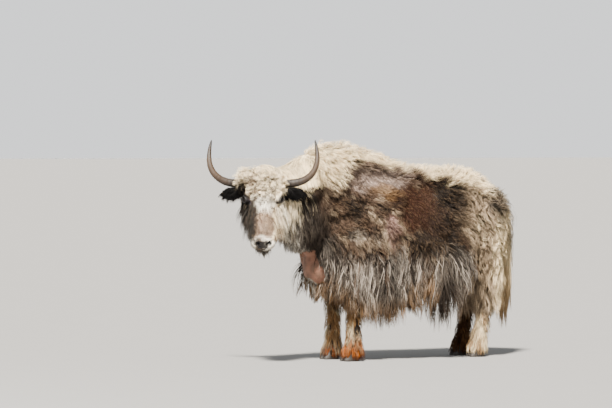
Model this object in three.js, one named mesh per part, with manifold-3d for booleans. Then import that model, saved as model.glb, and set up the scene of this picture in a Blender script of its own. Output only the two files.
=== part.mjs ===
// A yak standing square with its head turned to its left, as a still, life-size model.
// Millimetres, +Z up. The animal faces -X and its left side faces -Y. The origin is on the ground,
// at the middle of the box that the whole animal fills.
// Each part of the body is a closed loft through egg-shaped sections. Long hair is a set of flat,
// tapered locks sunk in the part that they grow from, and the curly forehead is a set of rounded clumps.

import * as THREE from 'three';
import { mergeVertices } from 'three/addons/utils/BufferGeometryUtils.js';
import Module from 'manifold-3d';

const wasm = await Module();
wasm.setup();

// Driving dimensions
const ORIGIN_SHIFT = new THREE.Vector3(302, 4, 0); // from the middle of the stance to the middle of the box
const GAP = 0.35; // clear space between two nodes that touch
const FORE_X = -445; // fore feet
const HIND_X = 456; // hind feet
const FORE_Y = 120; // half the track of the fore feet
const HIND_Y = 92; // half the track of the hind feet
const POLL = new THREE.Vector3(-1036, -90, 1115); // middle of the back of the skull
const HEAD_YAW = THREE.MathUtils.degToRad(60); // the head looks to the left of the body
const HEAD_PITCH = THREE.MathUtils.degToRad(-60); // and the nose hangs down
const HEAD_LENGTH = 490;
const EYE_RADIUS = 20;
const HOOF_HEIGHT = 66;
const SKIRT_FLOOR = 190; // the lowest tips of the belly fringe

// Stations of the torso along X: half width, top, bottom and how much narrower the upper half is
const TORSO = [
  [-700, 60, 1010, 700, 0.0],
  [-665, 122, 1150, 615, 0.1],
  [-600, 170, 1226, 548, 0.24],
  [-480, 208, 1258, 505, 0.36],
  [-380, 224, 1246, 490, 0.36],
  [-240, 242, 1206, 478, 0.28],
  [-80, 262, 1152, 470, 0.18],
  [120, 270, 1124, 480, 0.12],
  [290, 256, 1124, 520, 0.1],
  [410, 234, 1108, 580, 0.08],
  [520, 200, 1046, 640, 0.06],
  [600, 148, 962, 700, 0.0],
  [645, 84, 880, 765, 0.0],
];

// Stations of a left fore leg up the height: X, Y, half length and half width
const FORE_LEG = [
  [58, 2, 0, 43, 44],
  [95, 4, 0, 43, 43],
  [140, 5, 0, 46, 45],
  [200, 6, 0, 43, 41],
  [300, 6, 0, 44, 42],
  [370, 4, 2, 51, 46],
  [430, 8, 6, 58, 50],
  [540, 18, 16, 84, 62],
  [660, 20, 22, 108, 70],
  [760, 10, 16, 90, 60],
];

// Stations of a left hind leg up the height: X, Y, half length and half width
const HIND_LEG = [
  [58, -4, 0, 43, 43],
  [95, 2, 0, 43, 42],
  [145, 10, 0, 47, 44],
  [220, 26, 2, 44, 40],
  [330, 42, 6, 47, 43],
  [420, 54, 10, 64, 50],
  [500, 40, 18, 88, 62],
  [600, 0, 32, 130, 84],
  [720, -34, 50, 166, 102],
  [840, -20, 50, 156, 98],
  [920, 4, 40, 110, 76],
];

// Stations of the neck from the chest to the skull: X, Y, Z, half width, half height and taper
const NECK = [
  [0, -535, 0, 920, 160, 340, 0.28],
  [0.3, -690, -8, 952, 156, 306, 0.3],
  [0.6, -835, -28, 972, 136, 212, 0.26],
  [0.85, -955, -58, 1000, 116, 148, 0.1],
  [1, -1022, -88, 1030, 100, 122, 0.0],
];

// Stations of the head from the back of the skull to the nose: half width, top, bottom and taper
const HEAD = [
  [0.0, 84, 42, -78, 0.0],
  [0.07, 108, 72, -122, -0.06],
  [0.2, 122, 88, -152, 0.04],
  [0.36, 118, 84, -160, 0.1],
  [0.5, 98, 66, -148, 0.12],
  [0.64, 78, 50, -118, 0.1],
  [0.8, 69, 40, -90, 0.02],
  [0.91, 74, 35, -78, -0.06],
  [0.975, 68, 24, -66, -0.08],
  [1.0, 50, 8, -48, 0.0],
];

// Points of a horn, from inside the skull to the tip: sideways, forward, up and radius
const HORN = [
  [70, 6, -58, 24],
  [140, 20, -60, 25],
  [205, 34, -51, 23],
  [250, 44, -32, 21],
  [285, 50, -2, 19],
  [306, 48, 35, 17],
  [315, 40, 75, 15],
  [316, 26, 113, 12.5],
  [312, 8, 153, 9.5],
  [303, -12, 197, 4],
];

// Stations of the tail's flesh down its length: X, Z and radius
const TAIL = [
  [0, 622, 955, 40],
  [0.25, 662, 900, 36],
  [0.6, 682, 760, 27],
  [1, 684, 600, 16],
];

// A seeded random draw, so that every build has the same locks
function randomDraw(seed) {
  let state = seed;
  return (low, high) => {
    state = (state * 1664525 + 1013904223) % 4294967296;
    return low + ((high - low) * state) / 4294967296;
  };
}

// A smooth curve through stations whose first number is the place along it
function profile(stations) {
  const size = stations[0].length - 1;
  const places = stations.map((station) => station[0]);
  const values = stations.flatMap((station) => station.slice(1));
  const curve = new THREE.CubicInterpolant(places, values, size, new Float64Array(size));
  return (place) => Array.from(curve.evaluate(place));
}

const torsoAt = profile(TORSO);
const headAt = profile(HEAD);
const neckAt = profile(NECK);
const tailAt = profile(TAIL);

// Solids and geometries
function solidFrom(geometry) {
  const bare = geometry.clone();
  for (const name of Object.keys(bare.attributes)) if (name !== 'position') bare.deleteAttribute(name);
  const merged = mergeVertices(bare, 1e-4);
  const mesh = new wasm.Mesh({
    numProp: 3,
    vertProperties: new Float32Array(merged.attributes.position.array),
    triVerts: new Uint32Array(merged.index.array),
  });
  return new wasm.Manifold(mesh);
}

function geometryFrom(solid) {
  const mesh = solid.getMesh();
  const geometry = new THREE.BufferGeometry();
  geometry.setAttribute('position', new THREE.BufferAttribute(new Float32Array(mesh.vertProperties), 3));
  geometry.setIndex(new THREE.BufferAttribute(new Uint32Array(mesh.triVerts), 1));
  geometry.computeVertexNormals();
  return geometry;
}

const join = (solids) => solids.reduce((whole, piece) => whole.add(piece));

// The largest closed surface of a solid: its skin, without loose scraps and sealed hollows
function largest(solid) {
  const bodies = solid.decompose().filter((body) => body.volume() > 0);
  bodies.sort((a, b) => b.volume() - a.volume());
  return bodies[0];
}

// A closed body through rings of points, with a fan on each end
function loft(rings) {
  const count = rings[0].length;
  const points = rings.flat();
  const faces = [];
  const middle = (ring) =>
    ring.reduce((sum, point) => sum.add(point), new THREE.Vector3()).divideScalar(ring.length);
  const first = points.push(middle(rings[0])) - 1;
  const last = points.push(middle(rings[rings.length - 1])) - 1;
  const top = (rings.length - 1) * count;
  for (let k = 0; k < count; k++) {
    const next = (k + 1) % count;
    faces.push(first, next, k, last, top + k, top + next);
    for (let r = 0; r < rings.length - 1; r++) {
      const low = r * count;
      const high = low + count;
      faces.push(low + k, low + next, high + next, low + k, high + next, high + k);
    }
  }
  const geometry = new THREE.BufferGeometry().setFromPoints(points);
  geometry.setIndex(faces);
  const solid = solidFrom(geometry);
  if (solid.volume() > 0) return solid;
  const turned = faces.map((_, i) => faces[i - (i % 3) + (2 - (i % 3))]);
  geometry.setIndex(turned);
  return solidFrom(geometry);
}

// One egg-shaped ring: across and up are unit vectors, rise and drop the reach above and below the centre
function eggRing(centre, across, up, halfWidth, rise, drop, taper, count) {
  const ring = [];
  for (let k = 0; k < count; k++) {
    const angle = (2 * Math.PI * k) / count;
    const height = Math.sin(angle);
    const side = halfWidth * Math.cos(angle) * (1 - taper * height);
    const lift = height > 0 ? rise * height : drop * height;
    ring.push(centre.clone().addScaledVector(across, side).addScaledVector(up, lift));
  }
  return ring;
}

const AXIS_X = new THREE.Vector3(1, 0, 0);
const AXIS_Y = new THREE.Vector3(0, 1, 0);
const AXIS_Z = new THREE.Vector3(0, 0, 1);

function ball(centre, radii, detail = 2, turn = new THREE.Euler(), grow = 0) {
  const geometry = new THREE.IcosahedronGeometry(1, detail);
  geometry.scale(radii[0] + grow, radii[1] + grow, radii[2] + grow);
  geometry.applyMatrix4(new THREE.Matrix4().makeRotationFromEuler(turn));
  geometry.translate(centre.x, centre.y, centre.z);
  return solidFrom(geometry);
}

// The widest level of a torso section lies below the middle of its height
const WIDEST_SHARE = 0.42;
const torsoWidestZ = (top, bottom) => bottom + WIDEST_SHARE * (top - bottom);
const SECTION_CROWDING = 0.045; // draws the sections together towards both ends

function torsoCore(grow) {
  const rings = [];
  const steps = 20;
  const start = TORSO[0][0];
  const end = TORSO[TORSO.length - 1][0];
  for (let i = 0; i <= steps; i++) {
    const share = i / steps;
    const x = start + (end - start) * (share - SECTION_CROWDING * Math.sin(2 * Math.PI * share));
    const [halfWidth, top, bottom, taper] = torsoAt(x);
    const level = torsoWidestZ(top, bottom);
    const place = x + (i === 0 ? -grow : i === steps ? grow : 0);
    const centre = new THREE.Vector3(place, 0, level);
    rings.push(
      eggRing(centre, AXIS_Y, AXIS_Z, halfWidth + grow, top - level + grow, level - bottom + grow, taper, 18),
    );
  }
  return loft(rings);
}

// Half width of the torso at a height, which hangs straight down below the widest level
function torsoSideAt(x, z) {
  const [halfWidth, top, bottom, taper] = torsoAt(x);
  const level = torsoWidestZ(top, bottom);
  if (z <= level) return halfWidth;
  const height = Math.min(1, (z - level) / (top - level));
  return halfWidth * Math.sqrt(1 - height * height) * (1 - taper * height);
}

function legCore(stations, x0, y0, side, grow) {
  const at = profile(stations);
  const steps = 12;
  const low = stations[0][0];
  const high = stations[stations.length - 1][0];
  const rings = [];
  for (let i = 0; i <= steps; i++) {
    const z = low + (high - low) * Math.pow(i / steps, 1.25);
    const [dx, dy, halfLength, halfWidth] = at(z);
    const level = z + (i === 0 ? -grow : i === steps ? grow : 0);
    const centre = new THREE.Vector3(x0 + dx, side * (y0 + dy), level);
    rings.push(eggRing(centre, AXIS_X, AXIS_Y, halfLength + grow, halfWidth + grow, halfWidth + grow, 0, 10));
  }
  return loft(rings);
}

// Centre, direction, across and up of the neck at a share of its length
function neckFrame(share) {
  const [x, y, z, halfWidth, halfHeight, taper] = neckAt(share);
  const step = 0.02;
  const before = neckAt(Math.max(0, share - step));
  const after = neckAt(Math.min(1, share + step));
  const along = new THREE.Vector3().fromArray(after).sub(new THREE.Vector3().fromArray(before)).normalize();
  const across = new THREE.Vector3().crossVectors(along, AXIS_Z).normalize().negate();
  const up = new THREE.Vector3().crossVectors(across, along).normalize().negate();
  if (up.z < 0) up.negate();
  return { centre: new THREE.Vector3(x, y, z), along, across, up, halfWidth, halfHeight, taper };
}

function neckCore(grow) {
  const rings = [];
  const steps = 8;
  for (let i = 0; i <= steps; i++) {
    const { centre, across, up, halfWidth, halfHeight, taper } = neckFrame(i / steps);
    const reach = halfHeight + grow;
    rings.push(eggRing(centre, across, up, halfWidth + grow, reach, reach, taper, 16));
  }
  return loft(rings);
}

// The head's own frame: nose towards -X, left side towards -Y, before it is turned and lowered
const headTurn = new THREE.Matrix4()
  .makeRotationZ(HEAD_YAW)
  .multiply(new THREE.Matrix4().makeRotationY(HEAD_PITCH));
const headFrame = new THREE.Matrix4().makeTranslation(POLL.x, POLL.y, POLL.z).multiply(headTurn);
const yawFrame = new THREE.Matrix4()
  .makeTranslation(POLL.x, POLL.y, POLL.z)
  .multiply(new THREE.Matrix4().makeRotationZ(HEAD_YAW));
const inHead = (solid) => solid.transform(headFrame.toArray());

const HEAD_SIDES = 16;
function headLoft(grow) {
  const rings = [];
  const steps = 15;
  for (let i = 0; i <= steps; i++) {
    const share = i / steps;
    const [halfWidth, top, bottom, taper] = headAt(share);
    const level = (top + bottom) / 2 + 14;
    const place = -share * HEAD_LENGTH + (i === 0 ? grow : i === steps ? -grow : 0);
    rings.push(
      eggRing(
        new THREE.Vector3(place, 0, level), AXIS_Y, AXIS_Z,
        halfWidth + grow, top - level + grow, level - bottom + grow, taper, HEAD_SIDES,
      ),
    );
  }
  return loft(rings);
}

// A point of the head's surface and its outward direction, at a share of the length and an angle from
// the top
function headSurface(share, angle) {
  const [halfWidth, top, bottom, taper] = headAt(share);
  const level = (top + bottom) / 2 + 14;
  const height = Math.cos(angle);
  const side = halfWidth * Math.sin(angle) * (1 - taper * height);
  const lift = height > 0 ? (top - level) * height : (level - bottom) * height;
  const point = new THREE.Vector3(-share * HEAD_LENGTH, side, level + lift);
  const normal = new THREE.Vector3(0, Math.sin(angle) / halfWidth, height / (top - level)).normalize();
  return { point, normal };
}

const EYE_SHARE = 0.385;
const EYE_SIDE = 100;
const EYE_UP = 22;
const eyeCentre = (side) => new THREE.Vector3(-EYE_SHARE * HEAD_LENGTH, side * EYE_SIDE, EYE_UP);

function eye(side, grow) {
  return inHead(ball(eyeCentre(side), [EYE_RADIUS, EYE_RADIUS, EYE_RADIUS], 1, new THREE.Euler(), grow));
}

// The slit between the lids: it looks out to the side and forwards, and its inner corner lies lower
function lidOpening(side) {
  const look = new THREE.Vector3(-0.1, side * 0.78, 0.6).normalize();
  const slit = new THREE.Vector3(-0.8, side * -0.5, 0.3);
  slit.addScaledVector(look, -slit.dot(look)).normalize();
  const across = new THREE.Vector3().crossVectors(look, slit);
  const opening = new THREE.IcosahedronGeometry(1, 1);
  opening.scale(24, 12.5, 19).applyMatrix4(new THREE.Matrix4().makeBasis(slit, across, look));
  const centre = eyeCentre(side).addScaledVector(look, 19);
  opening.translate(centre.x, centre.y, centre.z);
  return solidFrom(opening);
}

// A horn: round sections along a curve that goes out, up and a little in
function horn(side, grow) {
  const centres = HORN.map(([out, forward, up]) => new THREE.Vector3(-forward, side * out, up));
  const curve = new THREE.CatmullRomCurve3(centres, false, 'centripetal');
  const radiusAt = profile(HORN.map((point, i) => [i / (HORN.length - 1), point[3]]));
  const steps = 13;
  const rings = [];
  for (let i = 0; i <= steps; i++) {
    const share = i / steps;
    const along = curve.getTangent(share);
    const across = new THREE.Vector3().crossVectors(along, AXIS_X).normalize();
    const up = new THREE.Vector3().crossVectors(across, along).normalize();
    const radius = Math.max(radiusAt(share)[0], 3) + grow;
    const centre = curve.getPoint(share);
    if (i === steps) centre.addScaledVector(along, grow);
    rings.push(eggRing(centre, across, up, radius, radius, radius, 0, 8));
  }
  return loft(rings).transform(yawFrame.toArray());
}

// An ear: a leaf that points out to the side under the horn, hollowed by a cup on its front
const EAR_LENGTH = 150;
const EAR_ROOT = { out: 100, forward: 42, up: -112 };
function earFrame(side) {
  const out = new THREE.Vector3(0.12, side, -0.06).normalize();
  const front = new THREE.Vector3(-0.9, 0, -0.25);
  front.addScaledVector(out, -front.dot(out)).normalize();
  const across = new THREE.Vector3().crossVectors(out, front).normalize();
  const root = new THREE.Vector3(-EAR_ROOT.forward, side * EAR_ROOT.out, EAR_ROOT.up);
  return { out, front, across, root };
}

function ear(side, grow) {
  const { out, front, across, root } = earFrame(side);
  const widths = profile([[0, 18], [0.25, 30], [0.6, 42], [0.85, 28], [1, 6]]);
  const rings = [];
  const steps = 8;
  for (let i = 0; i <= steps; i++) {
    const share = i / steps;
    const centre = root.clone().addScaledVector(out, share * EAR_LENGTH + (i === steps ? grow : 0));
    const thick = 17 * (1 - 0.7 * share) + grow;
    rings.push(eggRing(centre, across, front, widths(share)[0] + grow, thick, thick, 0, 8));
  }
  const leaf = loft(rings).transform(yawFrame.toArray());
  if (grow > 0) return leaf;
  const cupCentre = root.clone().addScaledVector(out, 0.6 * EAR_LENGTH).addScaledVector(front, 12);
  const cup = new THREE.IcosahedronGeometry(1, 1);
  const basis = new THREE.Matrix4().makeBasis(out, across, front);
  cup.scale(0.34 * EAR_LENGTH, 29, 13).applyMatrix4(basis).translate(cupCentre.x, cupCentre.y, cupCentre.z);
  return largest(leaf.subtract(solidFrom(cup).transform(yawFrame.toArray())));
}

// A claw of a cloven hoof: flat on the ground, longer at the sole than at the top
function claw(x0, y0, side, outer, grow) {
  const rings = [];
  const levels = [
    [0, -20, 52, 22],
    [14, -18, 51, 22],
    [44, -8, 41, 20],
    [HOOF_HEIGHT, 0, 34, 18],
  ];
  const y = side * y0 + (outer ? side : -side) * 23;
  levels.forEach(([z, dx, halfLength, halfWidth], i) => {
    const level = z + (i === 0 ? -grow : i === levels.length - 1 ? grow : 0);
    const ring = eggRing(
      new THREE.Vector3(x0 + dx, y, level), AXIS_Y, AXIS_X,
      halfWidth + grow, halfLength + grow, halfLength + grow, 0.22, 8,
    );
    rings.push(ring);
  });
  return loft(rings);
}

// A flat, tapered lock along a path: flat inside, with a low ridge along the middle of its outer face
const LOCK_WIDTHS = [0.62, 1, 0.86];
const CORNER_REACH = 6; // how much further a grown lock's thin edges reach for each millimetre of growth
const TIP_REACH = 12; // and how much further its tip does
function lock(path, outward, width, thickness, grow) {
  const rings = [];
  for (let i = 0; i < path.length - 1; i++) {
    const along = path[i + 1].clone().sub(path[Math.max(0, i - 1)]).normalize();
    const across = new THREE.Vector3().crossVectors(along, outward).normalize();
    const out = new THREE.Vector3().crossVectors(across, along).normalize();
    const reach = (width * LOCK_WIDTHS[i]) / 2 + grow * CORNER_REACH;
    rings.push([
      path[i].clone().addScaledVector(across, -reach).addScaledVector(out, -grow),
      path[i].clone().addScaledVector(across, reach).addScaledVector(out, -grow),
      path[i].clone().addScaledVector(out, thickness + grow),
    ]);
  }
  const tip = path[path.length - 1].clone();
  const along = tip.clone().sub(path[path.length - 2]).normalize();
  return pointedLoft(rings, tip.addScaledVector(along, grow * TIP_REACH));
}

// A closed body through rings of points that ends in one tip
function pointedLoft(rings, tip) {
  const count = rings[0].length;
  const points = rings.flat();
  const peak = points.push(tip) - 1;
  const faces = [];
  for (let k = 1; k < count - 1; k++) faces.push(0, k + 1, k);
  for (let k = 0; k < count; k++) {
    const next = (k + 1) % count;
    for (let r = 0; r < rings.length - 1; r++) {
      const low = r * count;
      const high = low + count;
      faces.push(low + k, low + next, high + next, low + k, high + next, high + k);
    }
    const top = (rings.length - 1) * count;
    faces.push(top + k, top + next, peak);
  }
  const geometry = new THREE.BufferGeometry().setFromPoints(points);
  geometry.setIndex(faces);
  const solid = solidFrom(geometry);
  if (solid.volume() > 0) return solid;
  geometry.setIndex(faces.map((_, i) => faces[i - (i % 3) + (2 - (i % 3))]));
  return solidFrom(geometry);
}

// A set of locks is made once as plain data, so that the same locks can be built again a little larger
const buildLocks = (locks, grow) =>
  locks.map(({ path, outward, width, thickness }) => lock(path, outward, width, thickness, grow));

// The lowest tips of the belly fringe: it rises to the flank, and in front of the fore legs
function hemAt(x) {
  return SKIRT_FLOOR + Math.max(0, 0.3 * (x + 220), 2.2 * (x + 40), 1.1 * (-450 - x));
}

// Locks of the flank and the belly fringe, rooted in tiers down each side and hanging over one another
const SKIRT_TIERS = [
  { z: 735, length: 310, width: 132, count: 8, from: -590, to: 370, outset: 24 },
  { z: 590, length: 390, width: 120, count: 8, from: -590, to: 310, outset: 6 },
  { z: 540, length: 370, width: 112, count: 8, from: -540, to: 260, outset: -28 },
];
function skirtLocks() {
  const draw = randomDraw(7);
  const locks = [];
  for (const tier of SKIRT_TIERS) {
    for (const side of [-1, 1]) {
      for (let i = 0; i < tier.count; i++) {
        const x = tier.from + ((tier.to - tier.from) * (i + 0.5)) / tier.count + draw(-9, 9);
        const z = tier.z + draw(-14, 14);
        const lean = draw(-22, 26);
        const length = Math.min(tier.length * draw(0.92, 1.08), z - hemAt(x) - draw(0, 26));
        const outset = tier.outset + 9 * (i % 2); // each second lock lies over its neighbours
        const wall = (level, out) => side * (torsoSideAt(x, level) + outset + out);
        const path = [
          new THREE.Vector3(x, side * (torsoSideAt(x, z) - 26), z + 24),
          new THREE.Vector3(x, wall(z - 0.2 * length, -0.3 * tier.outset), z - 0.2 * length),
          new THREE.Vector3(x + 0.4 * lean, wall(z - 0.6 * length, 8), z - 0.6 * length),
          new THREE.Vector3(x + lean, wall(z - length, draw(-18, 2)), z - length),
        ];
        const outward = new THREE.Vector3(0, side, 0.1);
        locks.push({ path, outward, width: tier.width * draw(0.9, 1.08), thickness: 14 });
      }
    }
  }
  return locks;
}

// The tuft of the fold between the belly and each thigh, which hangs and leans back
function flankLocks() {
  const draw = randomDraw(13);
  const locks = [];
  for (const side of [-1, 1]) {
    for (let i = 0; i < 3; i++) {
      const x = 250 + 42 * i;
      const y = side * (176 - 26 * i);
      const z = 580;
      const length = 300 + 34 * i + draw(-10, 10);
      const path = [
        new THREE.Vector3(x, y * 0.9, z + 20),
        new THREE.Vector3(x - 14, y, z - 0.25 * length),
        new THREE.Vector3(x + 10, y, z - 0.66 * length),
        new THREE.Vector3(x + 52, y + draw(-10, 10), z - length),
      ];
      locks.push({ path, outward: new THREE.Vector3(-0.5, side, 0.1).normalize(), width: 84, thickness: 16 });
    }
  }
  return locks;
}

// Woolly locks along the hump and the back, lying backwards and down each side
const BACK_ROWS = 7;
function backLocks() {
  const draw = randomDraw(19);
  const locks = [];
  for (let i = 0; i < BACK_ROWS; i++) {
    const x0 = -620 + (1030 * i) / (BACK_ROWS - 1);
    const hump = Math.max(0, 1 - Math.abs(x0 + 430) / 300);
    const reach = 172 + 16 * hump + draw(-8, 8);
    for (const side of [-1, 0, 1]) {
      const shift = side === 0 ? draw(-16, 16) : side * draw(70, 92);
      const start = x0 + (side === 0 ? 0 : 40);
      const point = (along, lift) => {
        const x = start + along * reach;
        const [, top] = torsoAt(x);
        if (side === 0) return new THREE.Vector3(x, shift * along, top - 4 + 0.12 * lift);
        const z = top - 52 - 62 * along;
        return new THREE.Vector3(x, side * (torsoSideAt(x, z) + lift * 0.7), z);
      };
      const path = [point(-0.12, -34), point(0.2, 26), point(0.66, 30), point(1.06, 10)];
      const outward = new THREE.Vector3(0, side, side === 0 ? 1 : 0.6).normalize();
      const onTop = { width: 132, thickness: 26 + 18 * hump };
      locks.push({ path, outward, ...(side === 0 ? onTop : { width: 124, thickness: 14 }) });
    }
  }
  return locks;
}

// The fringe of the brisket, between and in front of the fore legs
function brisketLocks() {
  const draw = randomDraw(31);
  const locks = [];
  for (let row = 0; row < 3; row++) {
    for (let i = 0; i < 3; i++) {
      const y = -92 + 92 * i + draw(-10, 10);
      const x = -676 + 66 * row + 26 * Math.abs(i - 1);
      const [, , bottom] = torsoAt(x);
      const z = bottom + 60 - 10 * row;
      const length = 250 - 36 * row + draw(-16, 16);
      const path = [
        new THREE.Vector3(x + 16, y * 0.8, z + 22),
        new THREE.Vector3(x - 26, y, z - 0.26 * length),
        new THREE.Vector3(x - 14, y + draw(-8, 8), z - 0.66 * length),
        new THREE.Vector3(x + 14 + draw(-12, 12), y * 0.9 + draw(-12, 12), z - length),
      ];
      locks.push({ path, outward: new THREE.Vector3(-1, 0, 0.1).normalize(), width: 100, thickness: 18 });
    }
  }
  return locks;
}

// The mane over the crest and on both sides of it, and the long hair of the neck's sides and throat
const NECK_ROWS = [
  { angle: 0, length: 170, width: 120, count: 3 },
  { angle: 28, length: 230, width: 132, count: 3 },
  { angle: 66, length: 270, width: 128, count: 3 },
  { angle: 114, length: 275, width: 110, count: 4 },
];
function neckLocks() {
  const draw = randomDraw(43);
  const locks = [];
  NECK_ROWS.forEach((row, r) => {
    for (const side of row.angle === 0 ? [0] : [-1, 1]) {
      for (let i = 0; i < row.count; i++) {
        const share = 0.2 + (0.66 * (i + 0.25 + 0.5 * (r % 2))) / row.count + draw(-0.01, 0.01);
        const f = neckFrame(share);
        const angle = THREE.MathUtils.degToRad(row.angle);
        const height = Math.cos(angle);
        const sideways = side * Math.sin(angle) * f.halfWidth * (1 - f.taper * height);
        const root = f.centre.clone().addScaledVector(AXIS_Y, sideways);
        root.addScaledVector(f.up, f.halfHeight * height);
        const out = new THREE.Vector3(0, side * Math.sin(angle), height).normalize();
        const length = row.length * draw(0.9, 1.1);
        const lift = 8 + 8 * (i % 2);
        const wall = side * Math.max(0, f.halfWidth * 0.98 - Math.abs(sideways)) * (height > 0 ? 1 : 0);
        const point = (fall, spread, stand) => {
          const offset =
            side === 0
              ? f.along.clone().multiplyScalar(-fall * length).addScaledVector(f.up, stand)
              : new THREE.Vector3(6 + 22 * fall, spread * wall, -fall * length).addScaledVector(out, stand);
          return root.clone().add(offset);
        };
        const path = [
          point(-0.14, 0, -24),
          point(0.18, 0.25, lift + (side === 0 ? 16 : 8)),
          point(0.58, 0.85, lift + (side === 0 ? 24 : 8)),
          point(1, 0.98, lift + (side === 0 ? 2 : 0)),
        ];
        const sideFace = new THREE.Vector3(0, side, 0.35 * Math.max(0, height)).normalize();
        const outward = side === 0 ? f.up.clone() : sideFace;
        locks.push({ path, outward, width: row.width, thickness: 14 });
      }
    }
  });
  return locks;
}

// Hair that hangs round a leg: longer at the back, shorter towards the foot
function legLocks(stations, x0, y0, side, tiers, seed) {
  const draw = randomDraw(seed);
  const at = profile(stations);
  const locks = [];
  for (const tier of tiers) {
    for (let i = 0; i < tier.count; i++) {
      const angle = tier.from + ((tier.to - tier.from) * i) / Math.max(1, tier.count - 1);
      const turn = THREE.MathUtils.degToRad(angle);
      const back = Math.cos(turn); // 0 degrees is the back of the leg and 90 its outer side
      const outer = Math.sin(turn);
      const place = (z, lift) => {
        const [dx, dy, halfLength, halfWidth] = at(z);
        const y = side * (y0 + dy + outer * (halfWidth + lift));
        return new THREE.Vector3(x0 + dx + back * (halfLength + lift), y, z);
      };
      const length = tier.length * draw(0.85, 1.12);
      const z = tier.z + draw(-10, 10);
      const path = [
        place(z + 16, -18),
        place(z - 0.25 * length, 6 + 6 * (i % 2)),
        place(z - 0.62 * length, 9 + 6 * (i % 2)).add(new THREE.Vector3(back * tier.flare * 0.5, 0, 0)),
        place(z - length, 6).add(new THREE.Vector3(back * tier.flare, 0, 0)),
      ];
      const outward = new THREE.Vector3(back, side * outer, 0.05).normalize();
      locks.push({ path, outward, width: tier.width, thickness: 14 });
    }
  }
  return locks;
}

// The long hair of the tail, in whorls from the root to the tips
const TAIL_WHORLS = 3;
function tailLocks() {
  const draw = randomDraw(59);
  const locks = [];
  for (let w = 0; w < TAIL_WHORLS; w++) {
    const share = 0.1 + (0.88 * w) / (TAIL_WHORLS - 1);
    const count = 4;
    for (let i = 0; i < count; i++) {
      const [x, z, radius] = tailAt(share);
      const turn = (2 * Math.PI * (i + 0.5 * (w % 2))) / count;
      const out = new THREE.Vector3(Math.cos(turn), Math.sin(turn), 0);
      const full = new THREE.Vector3(out.x * 0.6 + 0.1, out.y, 0); // the tail is wider than it is deep
      const length = 380 + 70 * w + draw(-20, 30);
      const foot = Math.max(z - length, 96 + draw(0, 70));
      const drop = z - foot;
      const point = (fall, spread, drift) =>
        new THREE.Vector3(x + full.x * spread + drift, full.y * spread, z - fall * drop);
      const bulk = 36 + 10 * (i % 2) + draw(-4, 4);
      const path = [
        new THREE.Vector3(x, 0, z + 14).addScaledVector(out, radius * 0.3),
        point(0.2, radius + 12, 2),
        point(0.6, bulk + 12, 4 + draw(-4, 4)),
        point(1, bulk * 0.6, draw(-14, 8)),
      ];
      locks.push({ path, outward: out, width: 70, thickness: 13 });
    }
  }
  return locks;
}

// Rounded clumps of curly wool on the forehead and the poll, set close, in the head's frame
const CLUMP_ROWS = 5;
const CLUMP_COLUMNS = 4;
function foreheadClumps(grow) {
  const draw = randomDraw(71);
  const clumps = [];
  for (let r = 0; r < CLUMP_ROWS; r++) {
    for (let c = 0; c < CLUMP_COLUMNS; c++) {
      const share = (0.35 * r) / (CLUMP_ROWS - 1) + draw(-0.008, 0.008);
      const spread = (c - (CLUMP_COLUMNS - 1) / 2 + 0.5 * (r % 2) - 0.25) * 41 + draw(-4, 4);
      if (share > 0.25 && Math.abs(spread) > 56) continue; // the eye is there
      const { point, normal } = headSurface(share, THREE.MathUtils.degToRad(spread));
      const size = draw(45, 50) * (r === CLUMP_ROWS - 1 ? 0.8 : 1);
      const lift = r < 3 ? 1 - 3 * r : -8;
      const centre = point.clone().addScaledVector(normal, lift);
      const clump = new THREE.SphereGeometry(1, 7, 5).rotateX(Math.PI / 2); // a pole faces out
      clump.rotateZ(draw(0, 3));
      clump.scale(size * draw(0.92, 1.08) + grow, size * 0.92 + grow, size * 0.84 + grow);
      clump.applyQuaternion(new THREE.Quaternion().setFromUnitVectors(AXIS_Z, normal));
      clump.translate(centre.x, centre.y, centre.z);
      clumps.push(solidFrom(clump));
    }
  }
  return clumps;
}

// The short beard under the chin and the longer hair along the jaw, in the head's frame
const downInHead = new THREE.Vector3(0, 0, -1).applyMatrix4(new THREE.Matrix4().copy(headTurn).invert());
function beardLocks() {
  const draw = randomDraw(83);
  const locks = [];
  const hang = (root, outward, length, width, stand, thickness) => {
    const point = (out, fall) =>
      root.clone().addScaledVector(outward, out).addScaledVector(downInHead, fall * length);
    const path = [point(-16, -0.16), point(0.7 * stand, 0.28), point(stand, 0.66), point(0.5 * stand, 1)];
    locks.push({ path, outward, width, thickness });
  };
  for (const side of [-1, 0, 1]) {
    const share = 0.87 + 0.03 * Math.abs(side);
    const [halfWidth, , bottom] = headAt(share);
    const root = new THREE.Vector3(-share * HEAD_LENGTH, 0.5 * side * halfWidth, bottom + 26);
    hang(root, new THREE.Vector3(-0.3, 0.6 * side, -1).normalize(), 76 + draw(-6, 6), 46, 14, 14);
  }
  for (const side of [-1, 1]) {
    for (const share of [0.31, 0.43, 0.55, 0.67]) {
      const [halfWidth, , bottom] = headAt(share);
      const root = new THREE.Vector3(-share * HEAD_LENGTH, side * halfWidth * 0.93, bottom + 56);
      const length = 176 - 130 * share + draw(-8, 8);
      hang(root, new THREE.Vector3(0, side, -0.1).normalize(), length, 74, 16, 26);
    }
  }
  return locks;
}

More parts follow.
